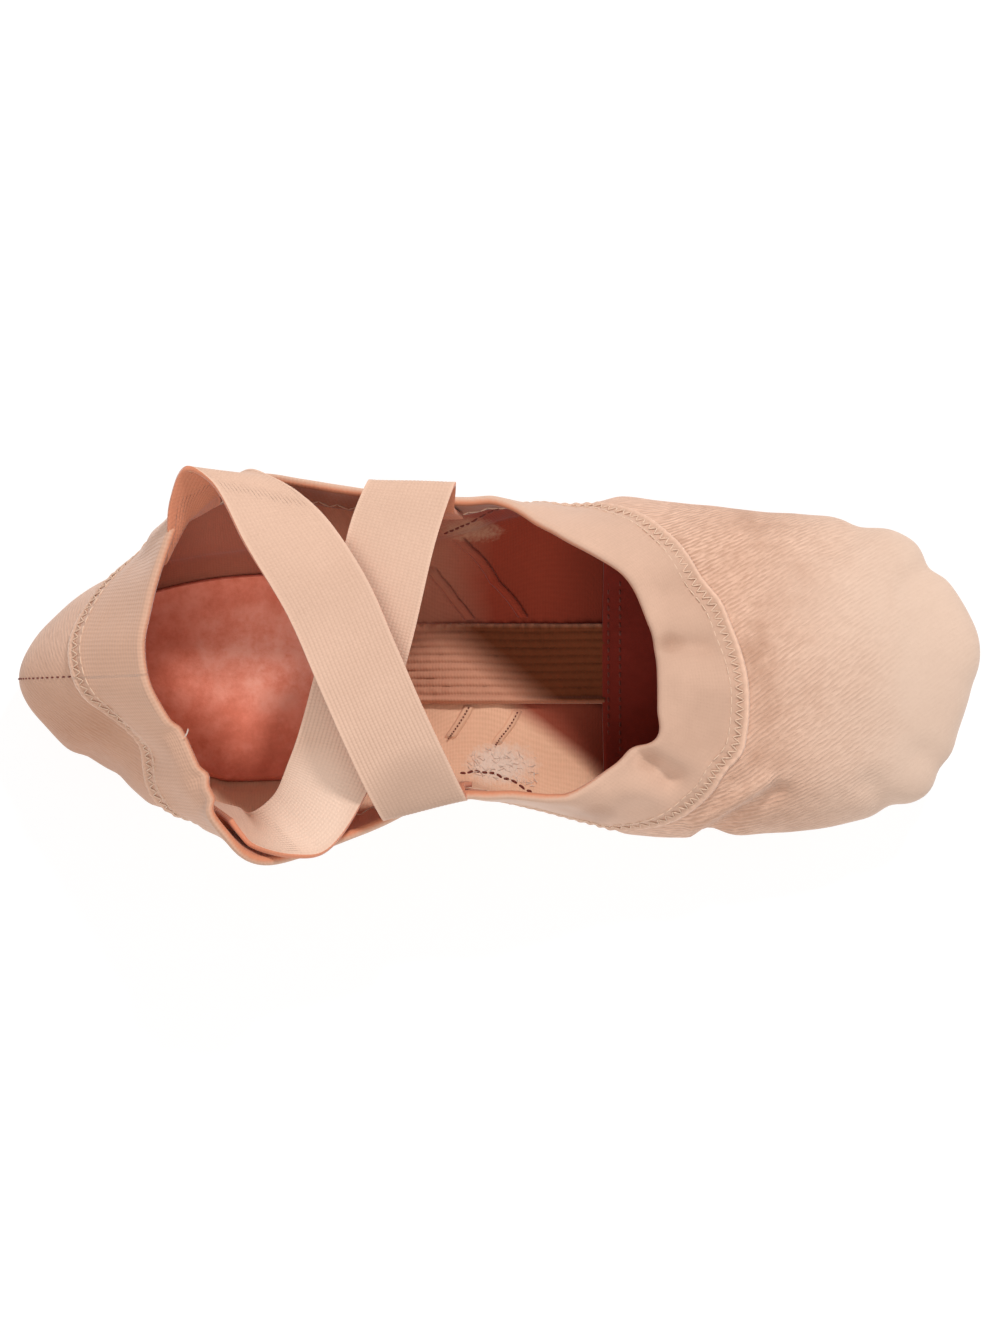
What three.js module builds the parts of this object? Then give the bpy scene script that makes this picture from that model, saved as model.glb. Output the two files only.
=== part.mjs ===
// A split sole ballet slipper of stretch canvas, standing empty on its two suede soles.
// Millimetres. +X runs from heel to toe, +Y to the wearer's left, +Z up from the floor.
import * as THREE from "three";

// Driving sizes of the last.
const LENGTH = 230;
const BALL_WIDTH = 80;
const HEEL_HEIGHT = 51;
const WIDEST_HEIGHT = 12;

// Heights under the foot.
const ARCH_LIFT = 5;
const ARCH_FROM = -33;
const ARCH_TO = 14;
const TOE_SPRING = 2.5;
const TOE_SPRING_FROM = 84;

// Thicknesses and the gap that neighbouring pieces keep.
const GAP = 0.45;
const INSOLE_GAP = 0.6;
const ELASTIC_GAP = 0.8;
const CANVAS = 1.2;
const BINDING = 0.7;
const OUTSOLE = 2;
const INSOLE = 1.5;
const ARCH_BAND = 1;
const ELASTIC = 1.2;

// Widths and lengths of the sewn-on pieces.
const BINDING_OUTSIDE = 21.5;
const BINDING_INSIDE = 10;
const ELASTIC_WIDTH = 20;
const ELASTIC_LAID_TOP = 1;
const ELASTIC_DEPTH = -CANVAS - GAP - BINDING - ELASTIC_GAP - ELASTIC / 2;
const ELASTIC_RISE = 2;
const ARCH_BAND_WIDTH = 15.5;

// The soles and insoles: how far each laps the canvas that turns in, as a share of that turn, where it ends
// at the arch, and how far that end swells, as a share of its half width.
const SOLE_LAP = 0.5;
const INSOLE_LAP = 0.12;
const HEEL_INSOLE_END = -34;
const FRONT_INSOLE_END = 25;
const HEEL_SOLE_END = -47;
const FRONT_SOLE_END = 28;
const SOLE_SWELL = 0.6;
const INSOLE_SWELL = 0;

// Mesh steps.
const RIBS = 84;
const ROLL_STEPS = 4;
const WALL_STEPS = 9;
const ELASTIC_STEPS = 4;
const ELASTIC_ACROSS = 4;
const END_ARC_STEPS = 8;
const ARCH_BAND_STEPS = 12;
const PAD_RINGS = [0.45, 0.75, 0.9, 1];
const BINDING_OUTSIDE_ROWS = [1, 2 / 3, 1 / 3];
const BINDING_INSIDE_ROWS = [1 / 2, 1];

// One row for each section of the last, from heel to toe. at and rimAt are shares of the length, left,
// right and tuck are shares of half the ball width, rimHeight is a share of the heel height. The outline
// is where the slipper is widest, the rim is the edge of its mouth, lean is how steeply the wall reaches
// that rim, in degrees, and tuck is how far the canvas turns in under the foot.
const SECTION_COLUMNS = [
  "at", "left", "right", "rimAtLeft", "rimLeft", "rimAtRight", "rimRight", "rimHeight", "lean",
  "tuckLeft", "tuckRight",
];
const SECTIONS = [
  [0.000, -0.075, 0.000, 0.141, -0.040, 0.141, 0.000, 1.00, 48, 0.35, 0.35],
  [0.048, 0.360, 0.460, 0.147, 0.390, 0.174, 0.425, 1.00, 52, 0.30, 0.32],
  [0.135, 0.620, 0.720, 0.184, 0.920, 0.214, 0.880, 0.99, 70, 0.30, 0.38],
  [0.261, 0.730, 0.770, 0.243, 1.105, 0.265, 1.140, 0.96, 74, 0.31, 0.35],
  [0.391, 0.730, 0.690, 0.365, 1.020, 0.387, 0.905, 0.90, 76, 0.56, 0.53],
  [0.522, 0.900, 0.800, 0.491, 0.950, 0.490, 0.768, 0.84, 72, 0.71, 0.61],
  [0.604, 0.985, 0.945, 0.541, 0.840, 0.552, 0.780, 0.81, 56, 0.78, 0.74],
  [0.645, 1.000, 1.015, 0.566, 0.775, 0.580, 0.750, 0.80, 45, 0.46, 0.47],
  [0.752, 0.940, 1.008, 0.631, 0.545, 0.618, 0.606, 0.78, 28, 0.33, 0.34],
  [0.865, 0.876, 0.940, 0.657, 0.250, 0.664, 0.440, 0.77, 20, 0.33, 0.33],
  [0.952, 0.620, 0.710, 0.664, 0.085, 0.666, 0.250, 0.77, 18, 0.33, 0.33],
  [1.000, 0.050, 0.000, 0.665, -0.075, 0.665, 0.075, 0.77, 18, 0.33, 0.33],
].map((row) => Object.fromEntries(SECTION_COLUMNS.map((name, i) => [name, row[i]])));

// The spine that the canvas turns in towards, and the shares of a rib's climb and of its ends' pull.
const SPINE_FROM = -85;
const SPINE_TO = 75;
const ROLL_SHARE = 0.3;
const EDGE_PULL = 2.1;
const ROLL_PULL = 1.4;
const WALL_RISE = 0.55;
const WALL_FALL = 0.8;

// One row for each bend of an elastic between its sewn ends: the band's middle, the plan angle of its width
// and how far the width tilts up, in degrees. A rim's place is its turn round the mouth, in rows of the table
// above. A tail goes straight down inside the collar, and a laid end follows the collar round.
const ELASTIC_COLUMNS = ["x", "y", "z", "heading", "tilt"];
const ELASTICS = {
  elastic_over: {
    from: 2.35,
    fromTail: 6,
    bends: [
      [-65.9, 41.3, 54.5, 22, 0],
      [-62.9, 44.3, 58.5, -6, -8],
      [-57, 41, 60.2, -6, -13],
      [-49.2, 31.3, 61, 20, -18],
      [-39.4, 16, 62.2, 25, -1],
      [-32.7, 0.9, 62.5, 24.5, 0],
      [-26.9, -12.6, 60.8, 25, 0],
      [-20.8, -26.4, 55.5, 24.5, 0],
    ],
    to: 17.67,
    toTail: 8,
  },
  elastic_under: {
    from: 4.45,
    fromTail: 9,
    bends: [
      [-20.6, 42, 54, -1, 0],
      [-24.1, 32.2, 56.4, -14, 0],
      [-29.6, 8.5, 57.6, -14, 0],
      [-35.5, -13.6, 54.4, -6, 5],
      [-40.3, -29.2, 48.8, 1, 22],
      [-43.2, -34, 45.6, -12, 40],
      [-46.4, -37.2, 43.4, -26, 52],
    ],
    laid: [19.15, 19.5, 19.85],
  },
};

const CANVAS_COLOUR = 0xe3c1a8;
const BINDING_COLOUR = 0xe0bca2;
const ELASTIC_COLOUR = 0xe8c8b0;
const ARCH_COLOUR = 0xd9a98c;
const OUTSOLE_COLOUR = 0xc9a58c;
const INSOLE_COLOUR = 0xb4695a;
const CLOTH_ROUGHNESS = 0.9;
const SUEDE_ROUGHNESS = 0.95;

const halfWidth = BALL_WIDTH / 2;
const alongFoot = (share) => (share - 0.5) * LENGTH;

// Height of the underside of the sole over the floor: a low arch and a little toe spring.
function lift(x) {
  const arch = THREE.MathUtils.clamp((x - ARCH_FROM) / (ARCH_TO - ARCH_FROM), 0, 1);
  const toe = Math.max(0, x - TOE_SPRING_FROM) / (LENGTH / 2 - TOE_SPRING_FROM);
  return ARCH_LIFT * Math.sin(Math.PI * arch) ** 2 + TOE_SPRING * toe * toe;
}
const canvasSeat = (x) => lift(x) + OUTSOLE + GAP;
const innerFloor = (x) => canvasSeat(x) + CANVAS + INSOLE_GAP;

// The table's rows as ribs round the mouth: heel to toe on the left, then back on the right.
function ribRow(section, side) {
  const isLeft = side > 0;
  const rim = new THREE.Vector3(
    alongFoot(isLeft ? section.rimAtLeft : section.rimAtRight),
    side * halfWidth * (isLeft ? section.rimLeft : section.rimRight),
    HEEL_HEIGHT * section.rimHeight,
  );
  const outline = new THREE.Vector2(
    alongFoot(section.at),
    side * halfWidth * (isLeft ? section.left : section.right),
  );
  const tuck = halfWidth * (isLeft ? section.tuckLeft : section.tuckRight);
  return { outline, rim, lean: section.lean, tuck };
}
const RING = [
  ...SECTIONS.map((section) => ribRow(section, 1)),
  ...SECTIONS.slice(1, -1).reverse().map((section) => ribRow(section, -1)),
];

// A smooth closed run through one value of every rib, by turn from 0 to 1.
function around(pick) {
  const values = RING.map(pick);
  const at = (i) => values[((i % values.length) + values.length) % values.length];
  return (turn) => {
    const place = turn * values.length;
    const i = Math.floor(place);
    const f = place - i;
    const [a, b, c, d] = [at(i - 1), at(i), at(i + 1), at(i + 2)];
    return b + 0.5 * f * (c - a + f * (2 * a - 5 * b + 4 * c - d + f * (3 * (b - c) + d - a)));
  };
}
const outlineX = around((rib) => rib.outline.x);
const outlineY = around((rib) => rib.outline.y);
const rimX = around((rib) => rib.rim.x);
const rimY = around((rib) => rib.rim.y);
const rimZ = around((rib) => rib.rim.z);
const leanAt = around((rib) => rib.lean);
const tuckAt = around((rib) => rib.tuck);
const turnOfRow = (row) => row / RING.length;

function hermite(start, startPull, end, endPull, u) {
  const rest = 1 - u;
  return new THREE.Vector3()
    .addScaledVector(start, rest * rest * (1 + 2 * u))
    .addScaledVector(startPull, u * rest * rest)
    .addScaledVector(end, u * u * (3 - 2 * u))
    .addScaledVector(endPull, -u * u * rest);
}

// The edge that the canvas turns in to, under the foot, and the way out from it to the outline.
function soleEdge(turn) {
  const x = outlineX(turn);
  const y = outlineY(turn);
  const inwards = new THREE.Vector3(THREE.MathUtils.clamp(x, SPINE_FROM, SPINE_TO) - x, -y, 0).normalize();
  const edge = new THREE.Vector3(x, y, 0).addScaledVector(inwards, tuckAt(turn));
  edge.z = canvasSeat(edge.x);
  return { edge, outwards: inwards.negate() };
}

// One rib of the upper's outer skin, from its edge under the foot, round the outline and up to the rim.
class Rib extends THREE.Curve {
  constructor(turn) {
    super();
    const { edge, outwards } = soleEdge(turn);
    const x = outlineX(turn);
    const widest = new THREE.Vector3(x, outlineY(turn), canvasSeat(x) + WIDEST_HEIGHT);
    const rim = new THREE.Vector3(rimX(turn), rimY(turn), rimZ(turn));
    const lean = THREE.MathUtils.degToRad(leanAt(turn));
    const reach = rim.distanceTo(widest);
    const level = new THREE.Vector3(rim.x - widest.x, rim.y - widest.y, 0).normalize();
    const arrival = level.multiplyScalar(Math.cos(lean)).setZ(Math.sin(lean));
    this.edge = edge;
    this.widest = widest;
    this.rim = rim;
    this.edgePull = outwards.multiplyScalar(tuckAt(turn) * EDGE_PULL);
    this.rollPull = new THREE.Vector3(0, 0, WIDEST_HEIGHT * ROLL_PULL);
    this.wallPull = new THREE.Vector3(0, 0, reach * WALL_RISE);
    this.rimPull = arrival.multiplyScalar(reach * WALL_FALL);
  }
  getPoint(climb) {
    return climb < ROLL_SHARE
      ? hermite(this.edge, this.edgePull, this.widest, this.rollPull, climb / ROLL_SHARE)
      : hermite(
          this.widest, this.wallPull, this.rim, this.rimPull,
          (climb - ROLL_SHARE) / (1 - ROLL_SHARE),
        );
  }
  // The climb that lies a given distance below the rim, measured along the skin.
  climbBelowRim(distance) {
    return this.getUtoTmapping(0, this.getLength() - distance);
  }
}

const ribs = new Map();
function ribAt(turn) {
  const key = ((turn % 1) + 1).toFixed(6);
  if (!ribs.has(key)) ribs.set(key, new Rib(turn));
  return ribs.get(key);
}

// A point on the skin at a turn and a climb, moved out along the skin's normal, or in where out is
// negative, and past the rim by above.
const PROBE = 1e-3;
function onSkin(turn, climb, out, above = 0) {
  const low = Math.min(climb, 1 - PROBE);
  const up = ribAt(turn).getPoint(low + PROBE).sub(ribAt(turn).getPoint(low)).normalize();
  const round = ribAt(turn + PROBE).getPoint(climb).sub(ribAt(turn - PROBE).getPoint(climb));
  const normal = up.clone().cross(round).normalize();
  return ribAt(turn).getPoint(climb).addScaledVector(normal, out).addScaledVector(up, above);
}

// A closed solid through rings of equal point counts: a ring of rings, or a run with both ends capped.
function loft(rings, isRing) {
  const count = rings[0].length;
  const points = rings.flat();
  const faces = [];
  const last = isRing ? rings.length : rings.length - 1;
  for (let i = 0; i < last; i++) {
    const here = i * count;
    const next = ((i + 1) % rings.length) * count;
    for (let k = 0; k < count; k++) {
      const k1 = (k + 1) % count;
      faces.push([here + k, next + k, next + k1], [here + k, next + k1, here + k1]);
    }
  }
  if (!isRing) {
    for (const [ring, flip] of [[0, false], [rings.length - 1, true]]) {
      const middle = points.length;
      const centre = new THREE.Vector3();
      rings[ring].forEach((p) => centre.addScaledVector(p, 1 / count));
      points.push(centre);
      for (let k = 0; k < count; k++) {
        const a = ring * count + k;
        const b = ring * count + ((k + 1) % count);
        faces.push(flip ? [middle, b, a] : [middle, a, b]);
      }
    }
  }
  const volume = faces.reduce(
    (sum, [a, b, c]) => sum + points[a].dot(points[b].clone().cross(points[c])), 0,
  );
  const index = faces.flatMap(([a, b, c]) => (volume > 0 ? [a, b, c] : [a, c, b]));
  const geometry = new THREE.BufferGeometry().setFromPoints(points).setIndex(index);
  geometry.computeVertexNormals();
  return geometry;
}

const slipper = new THREE.Group();
function addPiece(name, geometry, color, roughness) {
  const mesh = new THREE.Mesh(geometry, new THREE.MeshStandardMaterial({ color, roughness, metalness: 0 }));
  mesh.name = name;
  slipper.add(mesh);
}

const turns = Array.from({ length: RIBS }, (_, i) => i / RIBS);

// The canvas upper: one wall, open at the mouth and underneath.
function upperGeometry() {
  const climbs = [];
  for (let i = 0; i < ROLL_STEPS; i++) climbs.push((ROLL_SHARE * i) / ROLL_STEPS);
  for (let i = 0; i <= WALL_STEPS; i++) climbs.push(ROLL_SHARE + ((1 - ROLL_SHARE) * i) / WALL_STEPS);
  return loft(
    turns.map((turn) => [
      ...climbs.map((climb) => onSkin(turn, climb, 0)),
      ...climbs.toReversed().map((climb) => onSkin(turn, climb, -CANVAS)),
    ]),
    true,
  );
}

// The binding folded over the rim: wide outside, narrower inside.
function bindingGeometry() {
  const outer = GAP;
  const inner = -CANVAS - GAP;
  return loft(
    turns.map((turn) => {
      const rib = ribAt(turn);
      const below = (distance, out) => onSkin(turn, rib.climbBelowRim(distance), out);
      const outside = BINDING_OUTSIDE_ROWS.map((share) => share * BINDING_OUTSIDE);
      const inside = BINDING_INSIDE_ROWS.map((share) => share * BINDING_INSIDE);
      return [
        ...outside.map((distance) => below(distance, outer + BINDING)),
        onSkin(turn, 1, outer + BINDING),
        onSkin(turn, 1, -CANVAS / 2, GAP + BINDING),
        onSkin(turn, 1, inner - BINDING),
        ...inside.map((distance) => below(distance, inner - BINDING)),
        ...inside.toReversed().map((distance) => below(distance, inner)),
        onSkin(turn, 1, inner, GAP),
        onSkin(turn, 1, outer, GAP),
        ...outside.toReversed().map((distance) => below(distance, outer)),
      ];
    }),
    true,
  );
}

// A flat pad under or in the foot, between the heights low(x) and low(x) + thickness.
function padGeometry(outline, low, thickness) {
  const centre = new THREE.Vector2();
  outline.forEach((p) => centre.addScaledVector(p, 1 / outline.length));
  const ring = (scale, rise) =>
    outline.map((p) => {
      const q = p.clone().sub(centre).multiplyScalar(scale).add(centre);
      return new THREE.Vector3(q.x, q.y, low(q.x) + rise);
    });
  return loft(
    [
      ...PAD_RINGS.map((scale) => ring(scale, 0)),
      ...PAD_RINGS.toReversed().map((scale) => ring(scale, thickness)),
    ],
    false,
  );
}

// The canvas's inner edge moved out by a share of its turn, on the toe's side or the heel's side of end,
// closed by an arc that swells towards the arch.
function floorOutline(lap, end, towards, swell) {
  const start = towards > 0 ? 0 : 0.5;
  const outline = [];
  for (let i = 0; i < RIBS; i++) {
    const turn = start + i / RIBS;
    const { edge, outwards } = soleEdge(turn);
    const p = edge.addScaledVector(outwards, lap * tuckAt(turn));
    if ((p.x - end) * towards > 0) outline.push(new THREE.Vector2(p.x, p.y));
  }
  const first = outline[0].clone().setX(end);
  const last = outline.at(-1).clone().setX(end);
  const half = last.clone().sub(first).multiplyScalar(0.5);
  const middle = first.clone().add(last).multiplyScalar(0.5);
  for (let i = 0; i <= END_ARC_STEPS; i++) {
    const angle = (Math.PI * i) / END_ARC_STEPS;
    const p = middle.clone().addScaledVector(half, Math.cos(angle));
    outline.push(p.setX(p.x - towards * swell * half.length() * Math.sin(angle)));
  }
  return outline;
}

// The ribbed band that closes the slot under the arch, between the two insoles.
function archBandGeometry() {
  const from = HEEL_INSOLE_END + GAP;
  const to = FRONT_INSOLE_END - GAP;
  const half = ARCH_BAND_WIDTH / 2;
  const rings = [];
  for (let i = 0; i <= ARCH_BAND_STEPS; i++) {
    const x = from + ((to - from) * i) / ARCH_BAND_STEPS;
    const z = innerFloor(x);
    const corner = (y, rise) => new THREE.Vector3(x, y, z + rise);
    rings.push([corner(-half, 0), corner(half, 0), corner(half, ARCH_BAND), corner(-half, ARCH_BAND)]);
  }
  return loft(rings, false);
}

// A sewn end of an elastic, on the inside of the binding: points across the band, above or below the rim.
function sewnRow(row, above) {
  const middle = turnOfRow(row);
  const span = ribAt(middle + PROBE).rim.distanceTo(ribAt(middle - PROBE).rim) / (2 * PROBE);
  const points = [];
  for (let k = 0; k <= ELASTIC_ACROSS; k++) {
    const turn = middle + ((k / ELASTIC_ACROSS - 0.5) * ELASTIC_WIDTH) / span;
    const climb = above < 0 ? ribAt(turn).climbBelowRim(-above) : 1;
    points.push(onSkin(turn, climb, ELASTIC_DEPTH, Math.max(0, above)));
  }
  return points;
}

// The rows of a tail, from its end up to just over the rim.
function sewnTail(row, tail) {
  return [sewnRow(row, -tail), sewnRow(row, -tail / 2), sewnRow(row, ELASTIC_RISE)];
}

// A row of an end that is laid along the inside of the collar, its width down the wall.
function laidRow(row) {
  const turn = turnOfRow(row);
  return Array.from({ length: ELASTIC_ACROSS + 1 }, (_, k) => {
    const below = ELASTIC_LAID_TOP + (1 - k / ELASTIC_ACROSS) * ELASTIC_WIDTH;
    return onSkin(turn, ribAt(turn).climbBelowRim(below), ELASTIC_DEPTH);
  });
}

// A free bend of an elastic: points straight across the band.
function bendRow(bend) {
  const { x, y, z, heading, tilt } = Object.fromEntries(ELASTIC_COLUMNS.map((name, i) => [name, bend[i]]));
  const turn = THREE.MathUtils.degToRad(heading);
  const rise = THREE.MathUtils.degToRad(tilt);
  const across = new THREE.Vector3(Math.cos(turn), Math.sin(turn), Math.tan(rise)).normalize();
  return Array.from({ length: ELASTIC_ACROSS + 1 }, (_, k) =>
    new THREE.Vector3(x, y, z).addScaledVector(across, (k / ELASTIC_ACROSS - 0.5) * ELASTIC_WIDTH),
  );
}

// An elastic from inside one rim, over the mouth, to inside the other.
function elasticGeometry({ from, fromTail, bends, to, toTail, laid }) {
  const end = laid
    ? laid.map(laidRow)
    : sewnTail(to, toTail)
        .toReversed()
        .map((row) => row.toReversed());
  const rows = [...sewnTail(from, fromTail), ...bends.map(bendRow), ...end];
  const lines = rows[0].map((_, k) => new THREE.CatmullRomCurve3(rows.map((row) => row[k])));
  const steps = (rows.length - 1) * ELASTIC_STEPS;
  const rings = [];
  for (let i = 0; i <= steps; i++) {
    const here = lines.map((line) => line.getPoint(i / steps));
    const faces = here.map((p, k) => {
      const along = lines[k].getTangent(i / steps);
      const across = here[Math.min(k + 1, ELASTIC_ACROSS)].clone().sub(here[Math.max(k - 1, 0)]);
      return along.cross(across).normalize().multiplyScalar(ELASTIC / 2);
    });
    rings.push([
      ...here.map((p, k) => p.clone().add(faces[k])),
      ...here.map((p, k) => p.clone().sub(faces[k])).reverse(),
    ]);
  }
  return loft(rings, false);
}

function addPad(name, outline, low, thickness, color) {
  addPiece(name, padGeometry(outline, low, thickness), color, SUEDE_ROUGHNESS);
}

const frontSole = floorOutline(SOLE_LAP, FRONT_SOLE_END, 1, SOLE_SWELL);
const heelSole = floorOutline(SOLE_LAP, HEEL_SOLE_END, -1, SOLE_SWELL);
const frontInsole = floorOutline(INSOLE_LAP, FRONT_INSOLE_END, 1, INSOLE_SWELL);
const heelInsole = floorOutline(INSOLE_LAP, HEEL_INSOLE_END, -1, INSOLE_SWELL);

addPiece("upper", upperGeometry(), CANVAS_COLOUR, CLOTH_ROUGHNESS);
addPiece("collar_binding", bindingGeometry(), BINDING_COLOUR, CLOTH_ROUGHNESS);
addPad("outsole_front", frontSole, lift, OUTSOLE, OUTSOLE_COLOUR);
addPad("outsole_heel", heelSole, lift, OUTSOLE, OUTSOLE_COLOUR);
addPad("insole_front", frontInsole, innerFloor, INSOLE, INSOLE_COLOUR);
addPad("insole_heel", heelInsole, innerFloor, INSOLE, INSOLE_COLOUR);
addPiece("arch_band", archBandGeometry(), ARCH_COLOUR, CLOTH_ROUGHNESS);
for (const [name, elastic] of Object.entries(ELASTICS)) {
  addPiece(name, elasticGeometry(elastic), ELASTIC_COLOUR, CLOTH_ROUGHNESS);
}

export default slipper;
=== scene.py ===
"""Looks of a split sole ballet slipper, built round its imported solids."""

import math

import bpy
import numpy as np
from bpy.props import FloatProperty, FloatVectorProperty, PointerProperty
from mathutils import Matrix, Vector


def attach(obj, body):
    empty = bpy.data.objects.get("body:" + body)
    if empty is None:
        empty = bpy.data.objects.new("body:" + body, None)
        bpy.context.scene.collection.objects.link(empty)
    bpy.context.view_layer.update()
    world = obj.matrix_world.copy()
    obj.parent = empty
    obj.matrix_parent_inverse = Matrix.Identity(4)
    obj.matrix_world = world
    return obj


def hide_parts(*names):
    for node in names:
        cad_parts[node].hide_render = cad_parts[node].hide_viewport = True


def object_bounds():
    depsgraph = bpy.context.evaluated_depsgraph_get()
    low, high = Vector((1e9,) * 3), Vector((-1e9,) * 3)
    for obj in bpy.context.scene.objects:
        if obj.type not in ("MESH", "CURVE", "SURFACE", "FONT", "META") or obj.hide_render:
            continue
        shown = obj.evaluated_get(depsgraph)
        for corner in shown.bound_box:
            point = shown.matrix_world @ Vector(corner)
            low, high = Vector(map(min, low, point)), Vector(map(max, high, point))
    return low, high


bl_info = {
    "name": "Split Sole Ballet Slipper",
    "version": (1, 0, 0),
    "blender": (4, 5, 0),
    "location": "View3D > Sidebar > Slipper",
    "description": "Builds the cloth, elastic and suede of a ballet slipper",
    "category": "Add Mesh",
}

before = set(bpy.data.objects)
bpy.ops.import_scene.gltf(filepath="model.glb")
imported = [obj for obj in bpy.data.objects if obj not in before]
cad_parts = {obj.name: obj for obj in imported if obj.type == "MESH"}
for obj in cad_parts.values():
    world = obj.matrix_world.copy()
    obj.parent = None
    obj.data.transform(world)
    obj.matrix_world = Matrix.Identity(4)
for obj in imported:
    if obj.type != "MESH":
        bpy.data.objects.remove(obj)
CAD_LOW, CAD_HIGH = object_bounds()
MM = 0.001
TAU = 2 * math.pi
MERGE = 1e-6
CLOTH_MAP = "cloth"


def linear(red, green, blue):
    """A screen colour, 0 to 255, as the linear colour that a shader takes."""
    return tuple(
        (c / 255 / 12.92) if c <= 10 else ((c / 255 + 0.055) / 1.055) ** 2.4
        for c in (red, green, blue)
    )


# Sections of the last, from heel to toe. at and rim_at are shares of the length, left, right and tuck are
# shares of half the ball width, rim_height is a share of the heel height and lean is in degrees.
SECTION_COLUMNS = (
    "at", "left", "right", "rim_at_left", "rim_left", "rim_at_right", "rim_right", "rim_height", "lean",
    "tuck_left", "tuck_right",
)
SECTIONS = (
    (0.000, -0.075, 0.000, 0.141, -0.040, 0.141, 0.000, 1.00, 48, 0.35, 0.35),
    (0.048, 0.360, 0.460, 0.147, 0.390, 0.174, 0.425, 1.00, 52, 0.30, 0.32),
    (0.135, 0.620, 0.720, 0.184, 0.920, 0.214, 0.880, 0.99, 70, 0.30, 0.38),
    (0.261, 0.730, 0.770, 0.243, 1.105, 0.265, 1.140, 0.96, 74, 0.31, 0.35),
    (0.391, 0.730, 0.690, 0.365, 1.020, 0.387, 0.905, 0.90, 76, 0.56, 0.53),
    (0.522, 0.900, 0.800, 0.491, 0.950, 0.490, 0.768, 0.84, 72, 0.71, 0.61),
    (0.604, 0.985, 0.945, 0.541, 0.840, 0.552, 0.780, 0.81, 56, 0.78, 0.74),
    (0.645, 1.000, 1.015, 0.566, 0.775, 0.580, 0.750, 0.80, 45, 0.46, 0.47),
    (0.752, 0.940, 1.008, 0.631, 0.545, 0.618, 0.606, 0.78, 28, 0.33, 0.34),
    (0.865, 0.876, 0.940, 0.657, 0.250, 0.664, 0.440, 0.77, 20, 0.33, 0.33),
    (0.952, 0.620, 0.710, 0.664, 0.085, 0.666, 0.250, 0.77, 18, 0.33, 0.33),
    (1.000, 0.050, 0.000, 0.665, -0.075, 0.665, 0.075, 0.77, 18, 0.33, 0.33),
)
LEFT_ROWS = len(SECTIONS)
ROWS = 2 * LEFT_ROWS - 2
# The foot's middle line runs between two distances along the last, at a height over the floor.
SPINE_FROM, SPINE_TO, SPINE_HEIGHT = -85.0, 75.0, 22.0
# The share of a rib that rolls out from the sole, and how hard a rib is pulled on its way up.
ROLL_SHARE = 0.3
EDGE_PULL, ROLL_PULL, WALL_RISE, WALL_FALL = 2.1, 1.4, 0.55, 0.8

# Soft folds and dents of the worn canvas, in millimetres, seen from above: where each starts and ends,
# its half width, and its height, which is negative for a trough.
FOLD_COLUMNS = ("x0", "y0", "x1", "y1", "width", "height")
FOLDS = (
    (46, -37.5, 63, -27, 1.9, 1.7),
    (49, -41.5, 66, -29.5, 2.2, -2.3),
    (55, 24, 62, 18, 6.0, -0.8),
    (66, 17, 72, 14, 7.0, -0.6),
    (60, 15, 62, -18, 6.5, -0.7),
    (91, 37, 80, 28, 3.6, -1.6),
    (90, 34, 98, 30, 4.5, 0.9),
    (107, 27, 98, 20, 3.6, -1.5),
    (97, -38, 88, -28, 3.6, -1.5),
    (109, -28, 101, -21, 3.6, -1.1),
    (28, 42, 34, 35, 5.0, 0.8),
    (-99, -20, -78, -35, 6.0, 1.6),
    (-93, -11, -82, -22, 3.6, -1.2),
    (-75, -15, -69.8, -26, 1.7, -1.8),
    (-69.8, -26, -68, -31, 1.7, -1.8),
    (-82, -33, -70, -39, 4.5, 3.2),
    (-98, -22, -92, -25, 4.5, -2.4),
    (-81, 32, -77, 37, 4.0, 2.2),
    (-1, 38, 9, 39, 5.0, 1.4),
    (-20, -35, -8, -32, 5.0, -1.2),
    (115, -6, 112, -16, 5.0, -1.1),
    (105, -29, 103, -31, 3.0, 0.5),
    (33.4, -21.6, 40, -26.5, 3.4, -3.3),
    (26, -30, 38, -26, 3.4, 1.0),
    (41, 5, 48, 4.5, 2.8, -1.7),
    (41, -3, 50, -5, 4.5, 1.2),
    (40, 17, 49, 21, 4.0, -1.0),
    (-100, 5, -86, 7, 5.0, 0.5),
)

# Bends of each strap between its sewn ends: the band's middle, the plan angle of its width and how far the
# width tilts up. A rim's place is a row of the table above. A tail goes straight down inside the collar for
# its length, and leaves the rim by its rise, and a laid end follows the collar round.
STRAPS = {
    "elastic_over": {
        "start": (2.03, 6.0, 0.4, 4.0),
        "bends": (
            (-66.7, 41.3, 54.5, 22, 0), (-62.3, 44.3, 58.5, -6, -8), (-56.3, 41.2, 60.2, -6, -13),
            (-49.2, 31.3, 61, 20, -18), (-39.4, 16, 62.2, 25, -1), (-32.7, 0.9, 62.5, 24.5, 0),
            (-26.9, -12.6, 60.2, 25, 0), (-21.4, -24.6, 55, 24, 0), (-17.2, -32.8, 49.4, 13.5, 0),
        ),
        "end": (17.62, 4.5, 0.6),
    },
    "elastic_under": {
        "start": (4.375, 6.0, 1.0),
        "bends": (
            (-20.1, 42.2, 54, -2, 0), (-24.0, 32.2, 56.4, -14, 0), (-29.6, 8.5, 57.6, -14, 0),
            (-35.5, -13.6, 54.4, -6, 5), (-39.6, -25.6, 50.2, -22, 12), (-46.2, -36.4, 47.6, -48, 28),
            (-52.4, -39, 45.5, -45, 46),
        ),
        "laid": (19.3, 19.6, 19.85),
    },
}


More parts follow.
